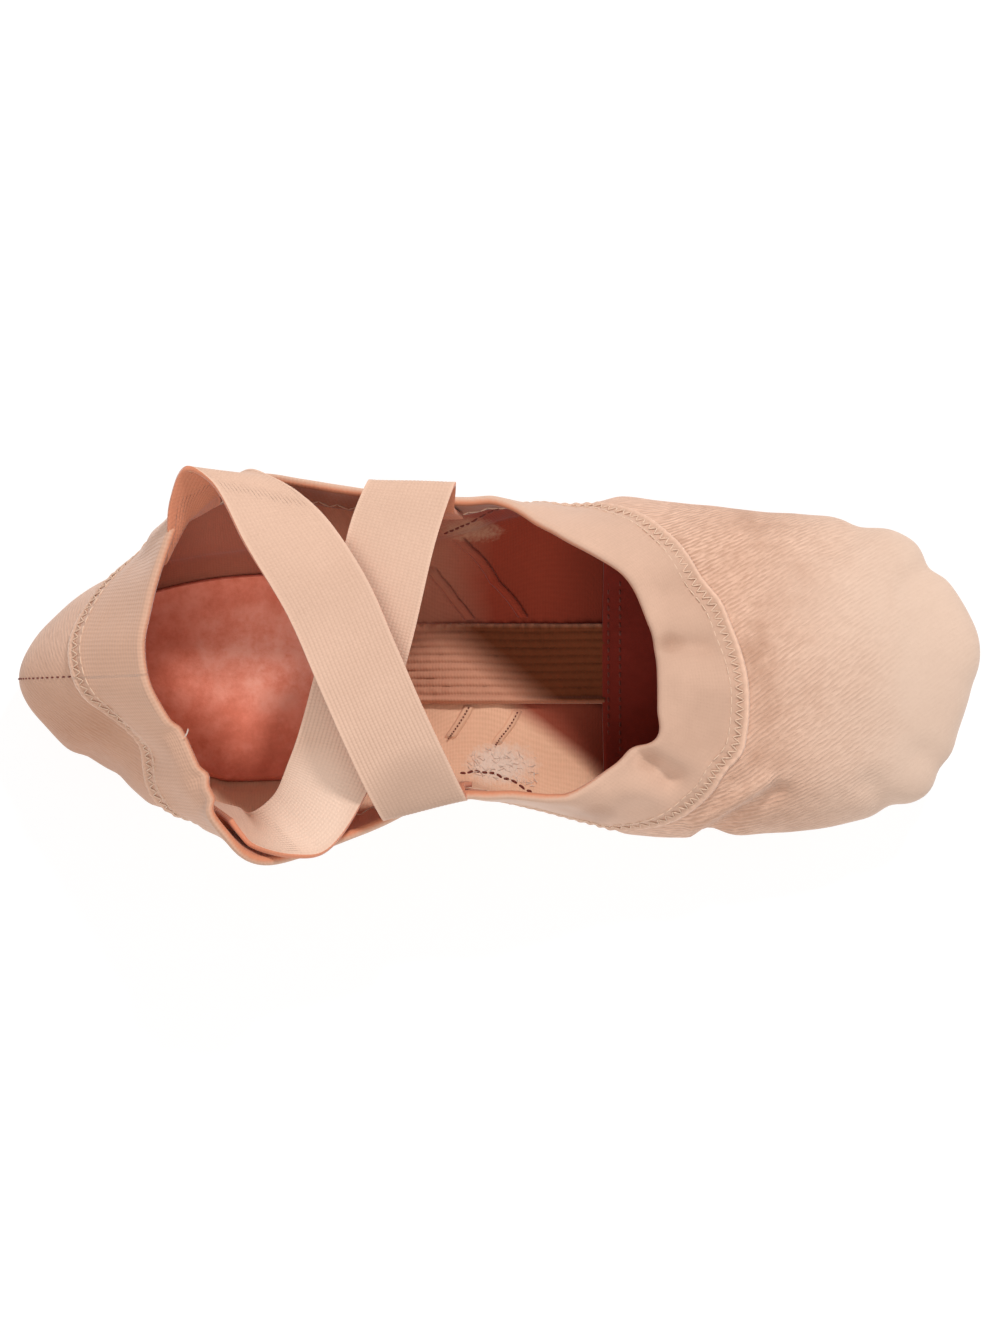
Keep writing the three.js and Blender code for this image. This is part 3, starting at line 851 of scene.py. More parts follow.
def canvas_paint(colour, toe):
    """Slubby twill, with stains and painted shade behind the toe beside the binding, rubbed to a second
    colour at the toe, and with painted shade under the vamp's lower fold and on the heel's lower side.
    """
    paint = Paint("stretch_canvas", roughness=0.92, sheen=0.22)
    u, v = paint.cloth()
    cosine, sine = TWILL_TURN
    along, across = u * cosine + v * sine, v * cosine - u * sine
    slub = paint.streak(along, across, SLUB_LENGTH, SLUB_WIDTH)
    line = (across + paint.noise(0.005) * 0.0007 + slub * 0.0003).wave(TWILL_PITCH)
    weave = (line * 0.75 + slub * 3.0 - 1.38).clamped()
    fuzz = paint.noise(0.0006, detail=3.0)
    patch = paint.noise(0.02, detail=4.0, roughness=0.65)
    blot = paint.noise(0.011, detail=5.0, roughness=0.7)
    towards_toe = u + patch * 0.03
    crisp = (1 - towards_toe.rise(0.078, 0.035) * 0.9) * (u.rise(0.01, 0.03) * 0.6 + 0.4)
    tone = ((weave - 0.5) * crisp * 0.8 + fuzz * 0.3 + patch * 0.8 + 0.05).clamped()
    rubbed = towards_toe.rise(0.072, 0.04)
    dark = paint.mix(rubbed, shade(colour, 0.72, 0.1), shade(toe, 0.84, 0.05))
    light = paint.mix(rubbed, shade(colour, 1.12), shade(toe, 1.06))
    hue = paint.mix(tone, dark, light)
    # Dark patches behind the toe, next to the binding: partly stains and partly painted shade beside the
    # binding's raised edge.
    stain_and_shade = (blot * 3.6 + patch + weave * 0.5 - 2.35).clamped() * u.rise(0.044, 0.012) * u.fall(0.082, 0.022)
    hue = paint.mix(stain_and_shade * 0.8, hue, shade(colour, 0.64, 0.15))
    plan = x, y = paint.plan()
    # Painted shade on the panel below the vamp's lower fold, on the side away from the light.
    under_fold = slant(plan, FOLD_WAY).rise(0.0595, 0.002) * x.fall(0.088, 0.025)
    hue = paint.mix(under_fold * (0.36 - patch * 0.5), hue, shade(colour, 0.66, 0.13))
    # Painted shade, darker and redder, on the heel's lower side, which faces away from the light.
    heel = x.fall(-0.07, 0.025) * y.fall(0.005, 0.02)
    hue = paint.mix(heel * (weave * 0.3 + 0.4), hue, shade(colour, 0.6, 0.32))
    return paint.done(hue, weave * crisp + fuzz * 0.3, strength=0.45, depth=0.0005)


def lining_paint(colour, painted_shade, fray):
    """Lining with painted shade, darker and redder on the far wall, in a painted shadow on the near side and
    towards the front sock, with a painted light near the straps, and pale where it is frayed.
    """
    paint = Paint("lining", roughness=0.88, sheen=0.12)
    u, v = paint.cloth()
    weave = u.wave(LINING_PITCH) * 0.5 + v.wave(LINING_PITCH) * 0.5
    fuzz = paint.noise(0.0006, detail=3.0)
    patch = paint.noise(0.014, detail=3.0)
    tone = (weave * 0.25 + fuzz * 0.35 + patch * 0.6 - 0.15).clamped()
    plan = x, y = paint.plan()
    # Painted shade on the far wall, a little weaker towards the heel.
    shade_forward = x.rise(-0.062, 0.03) * 0.2 + 0.8
    # A painted light on the far wall near the straps, which halves the painted shade there.
    painted_light = x.rise(-0.05, 0.012) * (x + patch * 0.012).fall(0.006, 0.026)
    far = (y + patch * 0.01).rise(0.001, 0.012) * shade_forward * (1 - painted_light * 0.5)
    # A painted shadow, cast by the front of the binding, over the near side of the lining.
    in_shadow = (slant(plan, LINING_WAY) + patch * 0.002).rise(-0.0065, 0.0045) * y.fall(0.003, 0.004)
    deepened = far.math("MAXIMUM", in_shadow * 0.92)
    dark = paint.mix(deepened, shade(colour, 0.78, 0.10), shade(painted_shade, 0.75, 0.05))
    light = paint.mix(deepened, shade(colour, 1.08), shade(painted_shade, 1.1))
    hue = paint.mix(tone, dark, light)
    # Painted shade, darker still, where the shaded lining runs forward under the vamp towards the front
    # sock.
    hue = paint.mix(x.rise(0.010, 0.014) * deepened * 0.7, hue, shade(painted_shade, 0.42, 0.25))
    for spot, worn in ((FRAYED_SPOT, shade(fray, 0.95)), (RUBBED_SPOT, shade(colour, 0.62, 0.1))):
        mark = (1.7 - from_spot(plan, spot) - patch * 1.2 + (fuzz - 0.5) * 1.6).clamped()
        hue = paint.mix(mark * 0.8, hue, worn)
    return paint.done(hue, weave * 0.5 + fuzz * 0.6, strength=0.4, depth=0.0003)


def binding_paint(colour, inner, fold):
    """Knit of the binding, which turns to its inner colour past the fold, a width in metres, with painted
    shade on the far inside and at the front, dark marks at its creases, painted shade between its puckers
    and a painted highlight on its bead.
    """
    paint = Paint("knit_binding", roughness=0.85, sheen=0.3)
    u, v = paint.cloth()
    drift = paint.noise(0.005) * 0.0004
    knit = (u + drift).wave(WALE_PITCH) * 0.5 + (v + drift).wave(COURSE_PITCH) * 0.5
    fuzz = paint.noise(0.0004, detail=3.0)
    patch = paint.noise(0.012, detail=3.0)
    plan = x, y = paint.plan()
    heel = x.fall(-0.02, 0.04) * 0.5
    crisp = heel + 0.15
    tone = (knit * crisp + fuzz * 0.4 + patch - 0.35).clamped()
    past = (v + fuzz * 0.0006).rise(fold, 0.0008)
    # Painted shade on the binding's inside, on the far side of the mouth.
    far_inside = y.rise(0.008, 0.01) * v.rise(fold + 0.0006, 0.0006)
    inside = paint.mix(far_inside * 0.7, shade(inner, 1.0), shade(inner, 0.4, 0.15))
    dark = paint.mix(past, shade(colour, 0.83), inside)
    light = paint.mix(past, shade(colour, 1.08), inside)
    hue = paint.mix(tone, dark, light)
    outside = 1 - past
    hue = paint.mix(heel * outside * 0.7, hue, shade(colour, 0.83, 0.22))
    # Painted shade on the front of the binding, which faces away from the light.
    front = x.rise(0.02, 0.02) * y.math("ABSOLUTE").fall(0.03, 0.012)
    hue = paint.mix(front * (0.95 - patch) * outside, hue, shade(colour, 0.72, 0.04))
    # Dark marks at the creases, partly wear and partly painted shade.
    for spot in CREASES:
        mark = (1.4 - from_spot(plan, spot) - patch * 1.2 + (fuzz - 0.5)).clamped()
        hue = paint.mix(mark * outside * 0.55, hue, shade(colour, 0.6, 0.12))
    # Painted shade in the hollows between the puckers behind the sewn edge.
    pucker = v.fall(PUCKER_WIDTH, PUCKER_WIDTH) * u.wave(PUCKER_PITCH) * (fuzz + 0.4)
    hue = paint.mix(pucker * 0.45, hue, shade(colour, 0.72, 0.06))
    # A painted highlight on the raised bead at the sewn edge.
    hue = paint.mix(v.fall(BEAD_WIDTH, BEAD_WIDTH) * 1.5, hue, shade(colour, 1.17))
    return paint.done(hue, knit * (crisp * 1.3) + fuzz * 0.5, strength=0.5, depth=0.0003)


def elastic_paint(name, colour, width, pitch, hem=0.0, painted_shade=0.0):
    """Ribbed webbing with pale selvedges: its width, the pitch of its ribs and where they start, in metres.

    The last argument is how strong the painted shadow of the mouth's rim is, as on the arch band under the
    vamp. The straps also get a painted light on the under strap's lower end and painted shade on the over
    strap's lower end."""
    paint = Paint(name, roughness=0.8, sheen=0.25)
    u, v = paint.cloth()
    rib = (v - (hem + pitch / 4)).wave(pitch)
    pick = (u + rib * 0.0002).wave(PICK_PITCH)
    fuzz = paint.noise(0.0005, detail=3.0)
    patch = paint.noise(0.015, detail=2.0)
    plan = _, y = paint.plan()
    # A painted pool of light on the under strap's lower end: paler, with fainter ribs.
    lit_patch = (1.3 - from_spot(plan, LIT_SPOT)).clamped()
    lined = (y.fall(0.02, 0.045) * 0.6 + 0.15) * (1 - lit_patch * 0.8)
    tone = ((rib - 0.5) * lined + pick * 0.12 + fuzz * 0.4 + patch * 0.5).clamped()
    hue = paint.mix(tone, shade(colour, 0.80, 0.07), shade(colour, 1.06))
    hue = paint.mix(lit_patch * 0.7, hue, shade(colour, 1.28, -0.09))
    # Painted shade on the over strap's lower end.
    shaded_end = (1.2 - from_spot(plan, SHADED_END_SPOT)).clamped()
    hue = paint.mix(shaded_end * 0.9, hue, shade(colour, 0.75, 0.03))
    # A painted shadow of the mouth's rim over the arch band under the vamp, as strong as the last argument
    # says.
    in_shadow = slant(plan, BAND_WAY).rise(-0.0045, 0.008)
    hue = paint.mix(in_shadow * painted_shade, hue, shade(colour, 0.25, 0.6))
    selvedge = v.math("MINIMUM", width - v).fall(SELVEDGE, SELVEDGE)
    hue = paint.mix(selvedge * 0.6, hue, shade(colour, 1.14))
    return paint.done(hue, pick * 0.6 + fuzz * 0.5, strength=0.3, depth=0.00025)


def suede_paint(name, colour, worn):
    """Brushed suede, rubbed to a second colour in patches, and paler in a trodden spot that also holds a
    painted highlight.
    """
    paint = Paint(name, roughness=0.95, sheen=0.35)
    nap = paint.noise(0.0009, detail=4.0, roughness=0.7)
    stroke = paint.noise(0.007, detail=6.0, roughness=0.75)
    patch = paint.noise(0.024, detail=3.0)
    tone = (nap * 0.4 + stroke * 2.0 + patch * 0.8 - 1.15).clamped()
    hue = paint.mix(tone, shade(colour, 0.75, 0.17), shade(colour, 1.1))
    rubbed = (stroke * 2.4 + patch * 2.2 - 2.1).clamped()
    # A pale centre, partly trodden wear and partly a painted highlight.
    trodden_and_lit = (1 - from_spot(paint.plan(), TRODDEN_AND_LIT_SPOT)).clamped()
    pale = (rubbed * 0.6 + trodden_and_lit * (stroke * 3.4 - 1.15)).clamped()
    hue = paint.mix(pale * 0.9, hue, shade(worn, 1.0))
    return paint.done(hue, nap * 0.6 + stroke * 0.6, strength=0.5, depth=0.0005)


def thread_paint(name, colour):
    """Twisted sewing thread."""
    paint = Paint(name, roughness=0.6, sheen=0.2, specular=0.4)
    strand = paint.noise(0.0004, detail=2.0)
    hue = paint.mix(strand, shade(colour, 0.82), shade(colour, 1.06))
    return paint.done(hue, strand, strength=0.4, depth=0.0001)


# Operators


class SLIPPER_OT_upper(bpy.types.Operator):
    """Canvas upper with its lining, open at the mouth and along the sole"""

    bl_idname = "slipper.upper"
    bl_label = "Canvas Upper"
    bl_options = {"REGISTER", "UNDO"}

    AROUND, UPWARDS = 440, 88
    # Where the cloth's map turns from the wall's own run to the plan of the vamp, and half the wall's crown.
    VAMP, CROWN = (20.0, 45.0), 32.0
    # How far the vamp's map is drawn down its sides, which start a little way off the middle.
    DRAWN, MIDDLE = 0.8, 6.0

    def execute(self, context):
        last, colours = form_and_colours(context)
        climbs = np.linspace(ROLL_SHARE, 1, 40)
        heel, toe = last.smooth_skin(0, climbs), last.smooth_skin(ROWS / 2, climbs[::-1])
        ridge = np.concatenate([heel, toe])
        x, y = last.ribs(last.step_rows)[:2]
        run = run_along(stack(x, y))
        joins = [np.interp(last.row_at(np.mean(self.VAMP), side), last.step_rows, run) for side in (1, -1)]
        along = np.where(last.step_rows < ROWS / 2, run - joins[0], joins[1] - run) + np.mean(self.VAMP)

        def place(round_share, climb):
            row = round_share * ROWS
            flat = last.smooth_skin(row, climb)
            crown = np.interp(flat[:, 0], ridge[:, 0], ridge[:, 2])
            side = np.clip(flat[:, 1] / self.MIDDLE, -1, 1)
            vamp = stack(flat[:, 0], flat[:, 1] + self.DRAWN * side * np.maximum(0, crown - flat[:, 2]))
            hand = np.where(row < ROWS / 2, 1, -1)
            depth = np.linalg.norm(flat - last.smooth_skin(row, np.ones_like(row)), axis=-1)
            wall = stack(np.interp(row, last.step_rows, along), hand * (self.CROWN + depth))
            share = smooth(flat[:, 0], *self.VAMP)[:, None]
            return last.skin(row, climb), wall + (vamp - wall) * share

        upper = grid_sheet("canvas_upper", self.AROUND, self.UPWARDS, place, closed=True)
        face_out(upper, from_outside)
        canvas = canvas_paint(colours.canvas, colours.toe)
        lining = lining_paint(colours.lining, colours.shaded_lining, colours.fray)
        dress(upper, canvas, lining)
        modifier(upper, "SOLIDIFY", thickness=last.canvas * MM, offset=-1.0, use_even_offset=True,
                 material_offset=1, material_offset_rim=0)
        finish(upper, "canvas", node="upper")
        return {"FINISHED"}


class SLIPPER_OT_binding(bpy.types.Operator):
    """Knit binding folded over the rim of the mouth, with its sewn edges"""

    bl_idname = "slipper.binding"
    bl_label = "Collar Binding"
    bl_options = {"REGISTER", "UNDO"}

    AROUND, OVER = 560, 52
    CLEAR, THREAD = 0.12, 0.18
    # The share of the way over the rim where the colour turns.
    FOLD = 0.45
    # Distances from the sewn edge, of its bead, the two sides of its zigzag and the line beyond it.
    BEAD, SEAM_FROM, SEAM_TO, LINE = 0.55, 1.2, 3.4, 4.5
    # How far apart stitches stand, measured at a depth below the rim.
    ZIGZAG, RUNNING, INNER = (19.0, 1.0), (17.0, 2.4), (8.5, 2.2)
    INNER_FROM, INNER_TO = 7.6, 9.4

    def stitches(self, last, top):
        """The zigzag over the sewn edge, the line of stitches beyond it, and the zigzag inside the mouth."""
        rows = last.even_rows(*self.ZIGZAG)
        width = last.binding_width(rows)
        _, outs = last.axes(rows, last.below_rim(rows, width - self.SEAM_FROM))
        near, far = (last.on_binding(rows, width - edge, top) for edge in (self.SEAM_FROM, self.SEAM_TO))
        edge = zigzag(near, far, outs)
        rows = last.even_rows(*self.RUNNING)
        depth = last.binding_width(rows) - self.LINE
        _, outs = last.axes(rows, last.below_rim(rows, depth))
        line = dashes(last.on_binding(rows, depth, top + 0.1), outs, 0.8)
        rows = last.even_rows(*self.INNER)
        _, outs = last.axes(rows, last.below_rim(rows, self.INNER[0]))
        near, far = (last.on_binding(rows, -inner, top) for inner in (self.INNER_FROM, self.INNER_TO))
        return edge, line, zigzag(near, far, -outs)

    def execute(self, context):
        last, colours = form_and_colours(context)
        half = last.binding / 2
        out = self.CLEAR + half
        bend = last.canvas / 2 + out
        over = math.pi * bend
        total = last.binding_outside + over + last.binding_inside

        def place(round_share, over_share):
            row = round_share * ROWS
            run = over_share * total
            width = last.binding_width(row)
            outside = (1 - run / last.binding_outside) * width
            inside = run - last.binding_outside - over
            from_edge = width - outside
            path = last.way_round(row)
            seam = (self.SEAM_FROM + self.SEAM_TO) / 2
            uneven = 1 + 0.3 * np.sin(path * TAU / 2.3 + np.sin(path / 5))
            bead = 0.42 * uneven * hump(from_edge, self.BEAD, 0.45)
            line = 0.14 * hump(from_edge, self.LINE, 0.5)
            trough = 0.16 * hump(from_edge, seam, 1.0)
            puckers = 0.14 * np.sin(path * TAU / 2.6) * hump(from_edge, seam, 1.6)
            drape = 0.4 * np.sin(path * TAU / 27 + 2 * np.sin(path / 19)) * np.sin(path * TAU / 41)
            slack = smooth(outside, 1.0, 8.0) * (1 - smooth(outside, 12.0, 18.0))
            relief = bead + line - trough + puckers + drape * slack
            climb = last.below_rim(row, np.maximum(np.maximum(outside, inside), 0))
            wall = np.where(outside >= 0, out + relief, -last.canvas - out)
            points = last.skin(row, climb, wall)
            up, normal = last.axes(row, np.ones_like(row))
            angle = np.clip((run - last.binding_outside) / over, 0, 1) * math.pi
            middle = last.skin(row, np.ones_like(row), -last.canvas / 2)
            fold = middle + bend * (normal * np.cos(angle)[:, None] + up * np.sin(angle)[:, None])
            on_fold = ((outside < 0) & (inside < 0))[:, None]
            return np.where(on_fold, fold, points), stack(path, run)

        binding = grid_sheet("knit_collar_binding", self.AROUND, self.OVER, place, closed=True)
        face_out(binding, lambda p: from_outside(p) * (p[:, 2:] > 0))
        modifier(binding, "SOLIDIFY", thickness=last.binding * MM, offset=0.0, use_even_offset=True)
        fold = (last.binding_outside + over * self.FOLD) * MM
        paint = binding_paint(colours.binding, colours.inner_binding, fold)
        finish(binding, "binding", paint, node="collar_binding")
        runs = self.stitches(last, self.CLEAR + last.binding + 0.1)
        thread = thread_paint("thread", colours.thread)
        stitch_rows("binding_zigzag_stitches", runs, "binding", thread, self.THREAD)
        return {"FINISHED"}


class SLIPPER_OT_straps(bpy.types.Operator):
    """Two ribbed elastic straps that cross over the mouth, sewn inside the collar"""

    bl_idname = "slipper.straps"
    bl_label = "Elastic Straps"
    bl_options = {"REGISTER", "UNDO"}

    RIBS, RIB_HEIGHT, EDGE_HEIGHT = 22, 0.036, 0.06
    ALONG, ACROSS = 150, 6 * RIBS
    LAID_TOP = 1.0
    # The straps' soft unevenness: height, distance between hollows and seed.
    WAVE, WAVE_LENGTH, WAVE_SEED = 0.10, 16, 11

    def rows_across(self, last, strap, share):
        """The strap's rows from one sewn end to the other, with a point for each share of the width."""
        depth = -last.canvas - last.GAP - last.binding - last.ELASTIC_GAP - last.elastic / 2

        def sewn(row, above):
            step = 0.01
            ends = last.smooth_skin(np.array((row - step, row + step)), 1.0)
            span = np.linalg.norm(ends[1] - ends[0]) / (2 * step)
            rows = row + (share - 0.5) * last.elastic_width / span
            climb = last.below_rim(rows, np.maximum(0.0, -above))
            return last.skin(rows, climb, depth, np.maximum(0.0, above))

        def tail(row, length, rise, dip=0.0):
            drop = dip * (1 - share) ** 2
            return [sewn(row, -length - drop), sewn(row, -length / 2 - drop), sewn(row, rise - drop)]

        def laid(row):
            climb = last.below_rim(row, self.LAID_TOP + (1 - share) * last.elastic_width)
            rows = np.full_like(share, row)
            _, normal = last.axes(rows, climb)
            return last.smooth_skin(rows, climb) + normal * depth

        def bent(x, y, z, heading, tilt):
            turn, rise = math.radians(heading), math.radians(tilt)
            way = unit(np.array((math.cos(turn), math.sin(turn), math.tan(rise))))
            return np.array((x, y, z)) + (share - 0.5)[:, None] * last.elastic_width * way

        rows = tail(*strap["start"]) + [bent(*bend) for bend in strap["bends"]]
        if "laid" in strap:
            rows += [laid(row) for row in strap["laid"]]
        else:
            rows += [row[::-1] for row in reversed(tail(*strap["end"]))]
        return np.array(rows)

    def follow(self, rows, at):
        """A smooth run through the rows, at shares of the way along."""
        ends = np.concatenate([[2 * rows[0] - rows[1]], rows, [2 * rows[-1] - rows[-2]]])
        place = np.clip(at * (len(rows) - 1), 0, len(rows) - 1 - 1e-9)
        i = place.astype(int)
        w = (place - i)[:, None]
        column = np.arange(rows.shape[1])
        p = [ends[i + k, column] for k in range(4)]
        gaps = [np.linalg.norm(p[k + 1] - p[k], axis=-1, keepdims=True) for k in range(3)]
        t = [np.maximum(np.sqrt(gap), 1e-4) for gap in gaps]
        left = ((p[1] - p[0]) / t[0] - (p[2] - p[0]) / (t[0] + t[1]) + (p[2] - p[1]) / t[1]) * t[1]
        right = ((p[2] - p[1]) / t[1] - (p[3] - p[1]) / (t[1] + t[2]) + (p[3] - p[2]) / t[2]) * t[1]
        return hermite(p[1], left, p[2], right, w)

    def webbing(self, last, strap, along, across):
        """The ribbed sheet of a strap, and its cloth coordinates."""
        shares, column = np.unique(np.round(across, 6), return_inverse=True)
        stations, where = np.unique(np.round(along, 6), return_inverse=True)
        rows = self.rows_across(last, strap, shares)
        sheet = np.array([self.follow(rows, np.full(len(shares), s)) for s in stations])
        run = run_along(sheet[:, len(shares) // 2])
        d_along, d_across = np.gradient(sheet, axis=0), np.gradient(sheet, axis=1)
        normal = unit(np.cross(d_along, d_across))
        rib = np.sin(shares * self.RIBS * TAU - math.pi / 2) * self.RIB_HEIGHT
        from_edge = smooth(np.minimum(shares, 1 - shares) * last.elastic_width, 0.6, 1.4)
        rib = rib * from_edge + self.EDGE_HEIGHT * (1 - from_edge)
        wave = self.WAVE * ripple(sheet, self.WAVE_LENGTH, self.WAVE_SEED)
        sheet = sheet + normal * (rib[None, :] + wave)[..., None]
        return sheet[where, column], stack(run[where], shares[column] * last.elastic_width)

    def execute(self, context):
        last, colours = form_and_colours(context)
        width = last.elastic_width * MM
        paint = elastic_paint("ribbed_elastic", colours.elastic, width, width / self.RIBS)
        # The back paint is a darker, more orange copy of the elastic, which stands for shade on the straps'
        # inner side and edges.
        back = elastic_paint("elastic_back", colours.elastic_back, width, width / self.RIBS)
        for node, strap in STRAPS.items():
            def place(along, across, strap=strap):
                return self.webbing(last, strap, along, across)

            band = grid_sheet("ribbed_" + node, self.ALONG, self.ACROSS, place)
            face_out(band, upwards)
            dress(band, paint, back)
            modifier(band, "SOLIDIFY", thickness=last.elastic * MM, offset=0.0, use_even_offset=True,
                     material_offset=1, material_offset_rim=1)
            finish(band, "elastic", node=node)
        return {"FINISHED"}


class SLIPPER_OT_insoles(bpy.types.Operator):
    """Suede socks in heel and forefoot, and the ribbed band between them"""

    bl_idname = "slipper.insoles"
    bl_label = "Socks and Arch Band"
    bl_options = {"REGISTER", "UNDO"}

    HEEL_END, FRONT_END = -34.0, 25.0
    HEEL_GRID, FRONT_GRID, BAND_GRID = (120, 44), (140, 44), (150, 84)
    # How far the socks lie off the canvas, as a share of the gap, and their cloth, as a share of its room.
    SOCK_LIFT, SOCK_CLOTH = 0.4, 0.8
    # How far the socks climb the wall, at their ends and past their middle, and where they leave the floor.
    HEEL_REACH, FRONT_REACH, FLOOR_SHARE = (0.6, 0.28), (0.35, 0.35), 0.55
    # The socks' and the band's soft unevenness: height, distance between hollows and seed.
    SOCK_WAVE, BAND_WAVE = (0.25, 11, 21), (0.25, 13, 31)
    BAND_RIBS, BAND_HEIGHT, BAND_CLOTH = 9, 0.7, 0.5
    BAND_FROM, BAND_TO, BAND_EDGE = -9.0, 10.4, 2.2
    # How strong the painted shadow on the arch band is.
    BAND_SHADOW = 0.95

    def sock(self, last, name, first, final, reaches, grid):
        """A sock that lies on the canvas's turned-in edge and climbs the wall a little."""
        lift = last.INSOLE_GAP * self.SOCK_LIFT + last.insole

        def place(round_share, out_share):
            row = first + (final - first) * round_share
            reach = reaches[0] + (reaches[1] - reaches[0]) * smooth(round_share, 0.3, 0.7)
            edge, _, _ = last.sole_edge(row)
            edge[:, 2] = last.seat(edge[:, 0]) + last.canvas + lift
            x = last.ribs(row)[0]
            spine = stack(np.clip(x, SPINE_FROM, SPINE_TO), 0 * x, 0 * x)
            spine[:, 2] = last.seat(spine[:, 0]) + last.canvas + lift
            split = self.FLOOR_SHARE
            flat = spine + (edge - spine) * np.clip(out_share / split, 0, 1)[:, None]
            flat[:, 2] = last.seat(flat[:, 0]) + last.canvas + lift
            climb = np.clip((out_share - split) / (1 - split), 0, 1) * reach * ROLL_SHARE
            wall = last.skin(row, climb, -last.canvas - lift)
            points = np.where((out_share > split)[:, None], wall, flat)
            height, apart, seed = self.SOCK_WAVE
            points[:, 2] += height * ripple(points, apart, seed)
            return points, points[:, :2].copy()

        piece = grid_sheet(name, *grid, place, closed=True)
        face_out(piece, upwards)
        modifier(piece, "SOLIDIFY", thickness=last.insole * self.SOCK_CLOTH * MM, offset=-1.0)
        return piece

    def execute(self, context):
        last, colours = form_and_colours(context)
        sock = suede_paint("heel_sock_suede", colours.sock, colours.worn_sock)
        front_sock = suede_paint("front_sock_suede", colours.front_sock, colours.front_sock)
        left, right = last.row_at(self.HEEL_END, 1), last.row_at(self.HEEL_END, -1)
        heel = self.sock(last, "heel_sock", right - ROWS, left, self.HEEL_REACH, self.HEEL_GRID)
        finish(heel, "sock", sock, node="insole_heel")
        left, right = last.row_at(self.FRONT_END, 1), last.row_at(self.FRONT_END, -1)
        front = self.sock(last, "front_sock", left, right, self.FRONT_REACH, self.FRONT_GRID)
        finish(front, "sock", front_sock, node="insole_front")
        width = self.BAND_TO - self.BAND_FROM

        def band(along, across):
            x = self.HEEL_END - 3 + (self.FRONT_END - self.HEEL_END + 3.5) * along
            y = self.BAND_FROM + width * across
            share = np.clip((y - self.BAND_FROM - self.BAND_EDGE) / (width - self.BAND_EDGE), 0, 1)
            wave = np.abs(np.sin(share * self.BAND_RIBS * math.pi + 0.12 * np.sin(x / 5.0)))
            height, apart, seed = self.BAND_WAVE
            gather = 0.07 * np.sin(x * TAU / 3.1 + 2.5 * np.sin(share * 9)) * wave
            gather = gather + height * ripple(stack(x, y, 0 * x), apart, seed)
            bead = 1.3 * hump(y - self.BAND_FROM, 1.0, 0.75)
            ruffle = 0.45 * np.sin(x * TAU / 2.6 + np.sin(x)) * smooth(y, self.BAND_TO - 2.0, self.BAND_TO)
            z = last.inner_floor(x) + 0.3 + self.BAND_HEIGHT * wave ** 0.35 + gather + bead + ruffle
            return stack(x, y, z), stack(x, y - self.BAND_FROM)

        piece = grid_sheet("ribbed_arch_band", *self.BAND_GRID, band)
        face_out(piece, upwards)
        modifier(piece, "SOLIDIFY", thickness=self.BAND_CLOTH * MM, offset=-1.0)
        pitch = (width - self.BAND_EDGE) / self.BAND_RIBS
        sizes = (size * MM for size in (width, pitch, self.BAND_EDGE))
        paint = elastic_paint("ribbed_arch_cloth", colours.arch, *sizes, painted_shade=self.BAND_SHADOW)
        finish(piece, "arch_band", paint, node="arch_band")
        return {"FINISHED"}


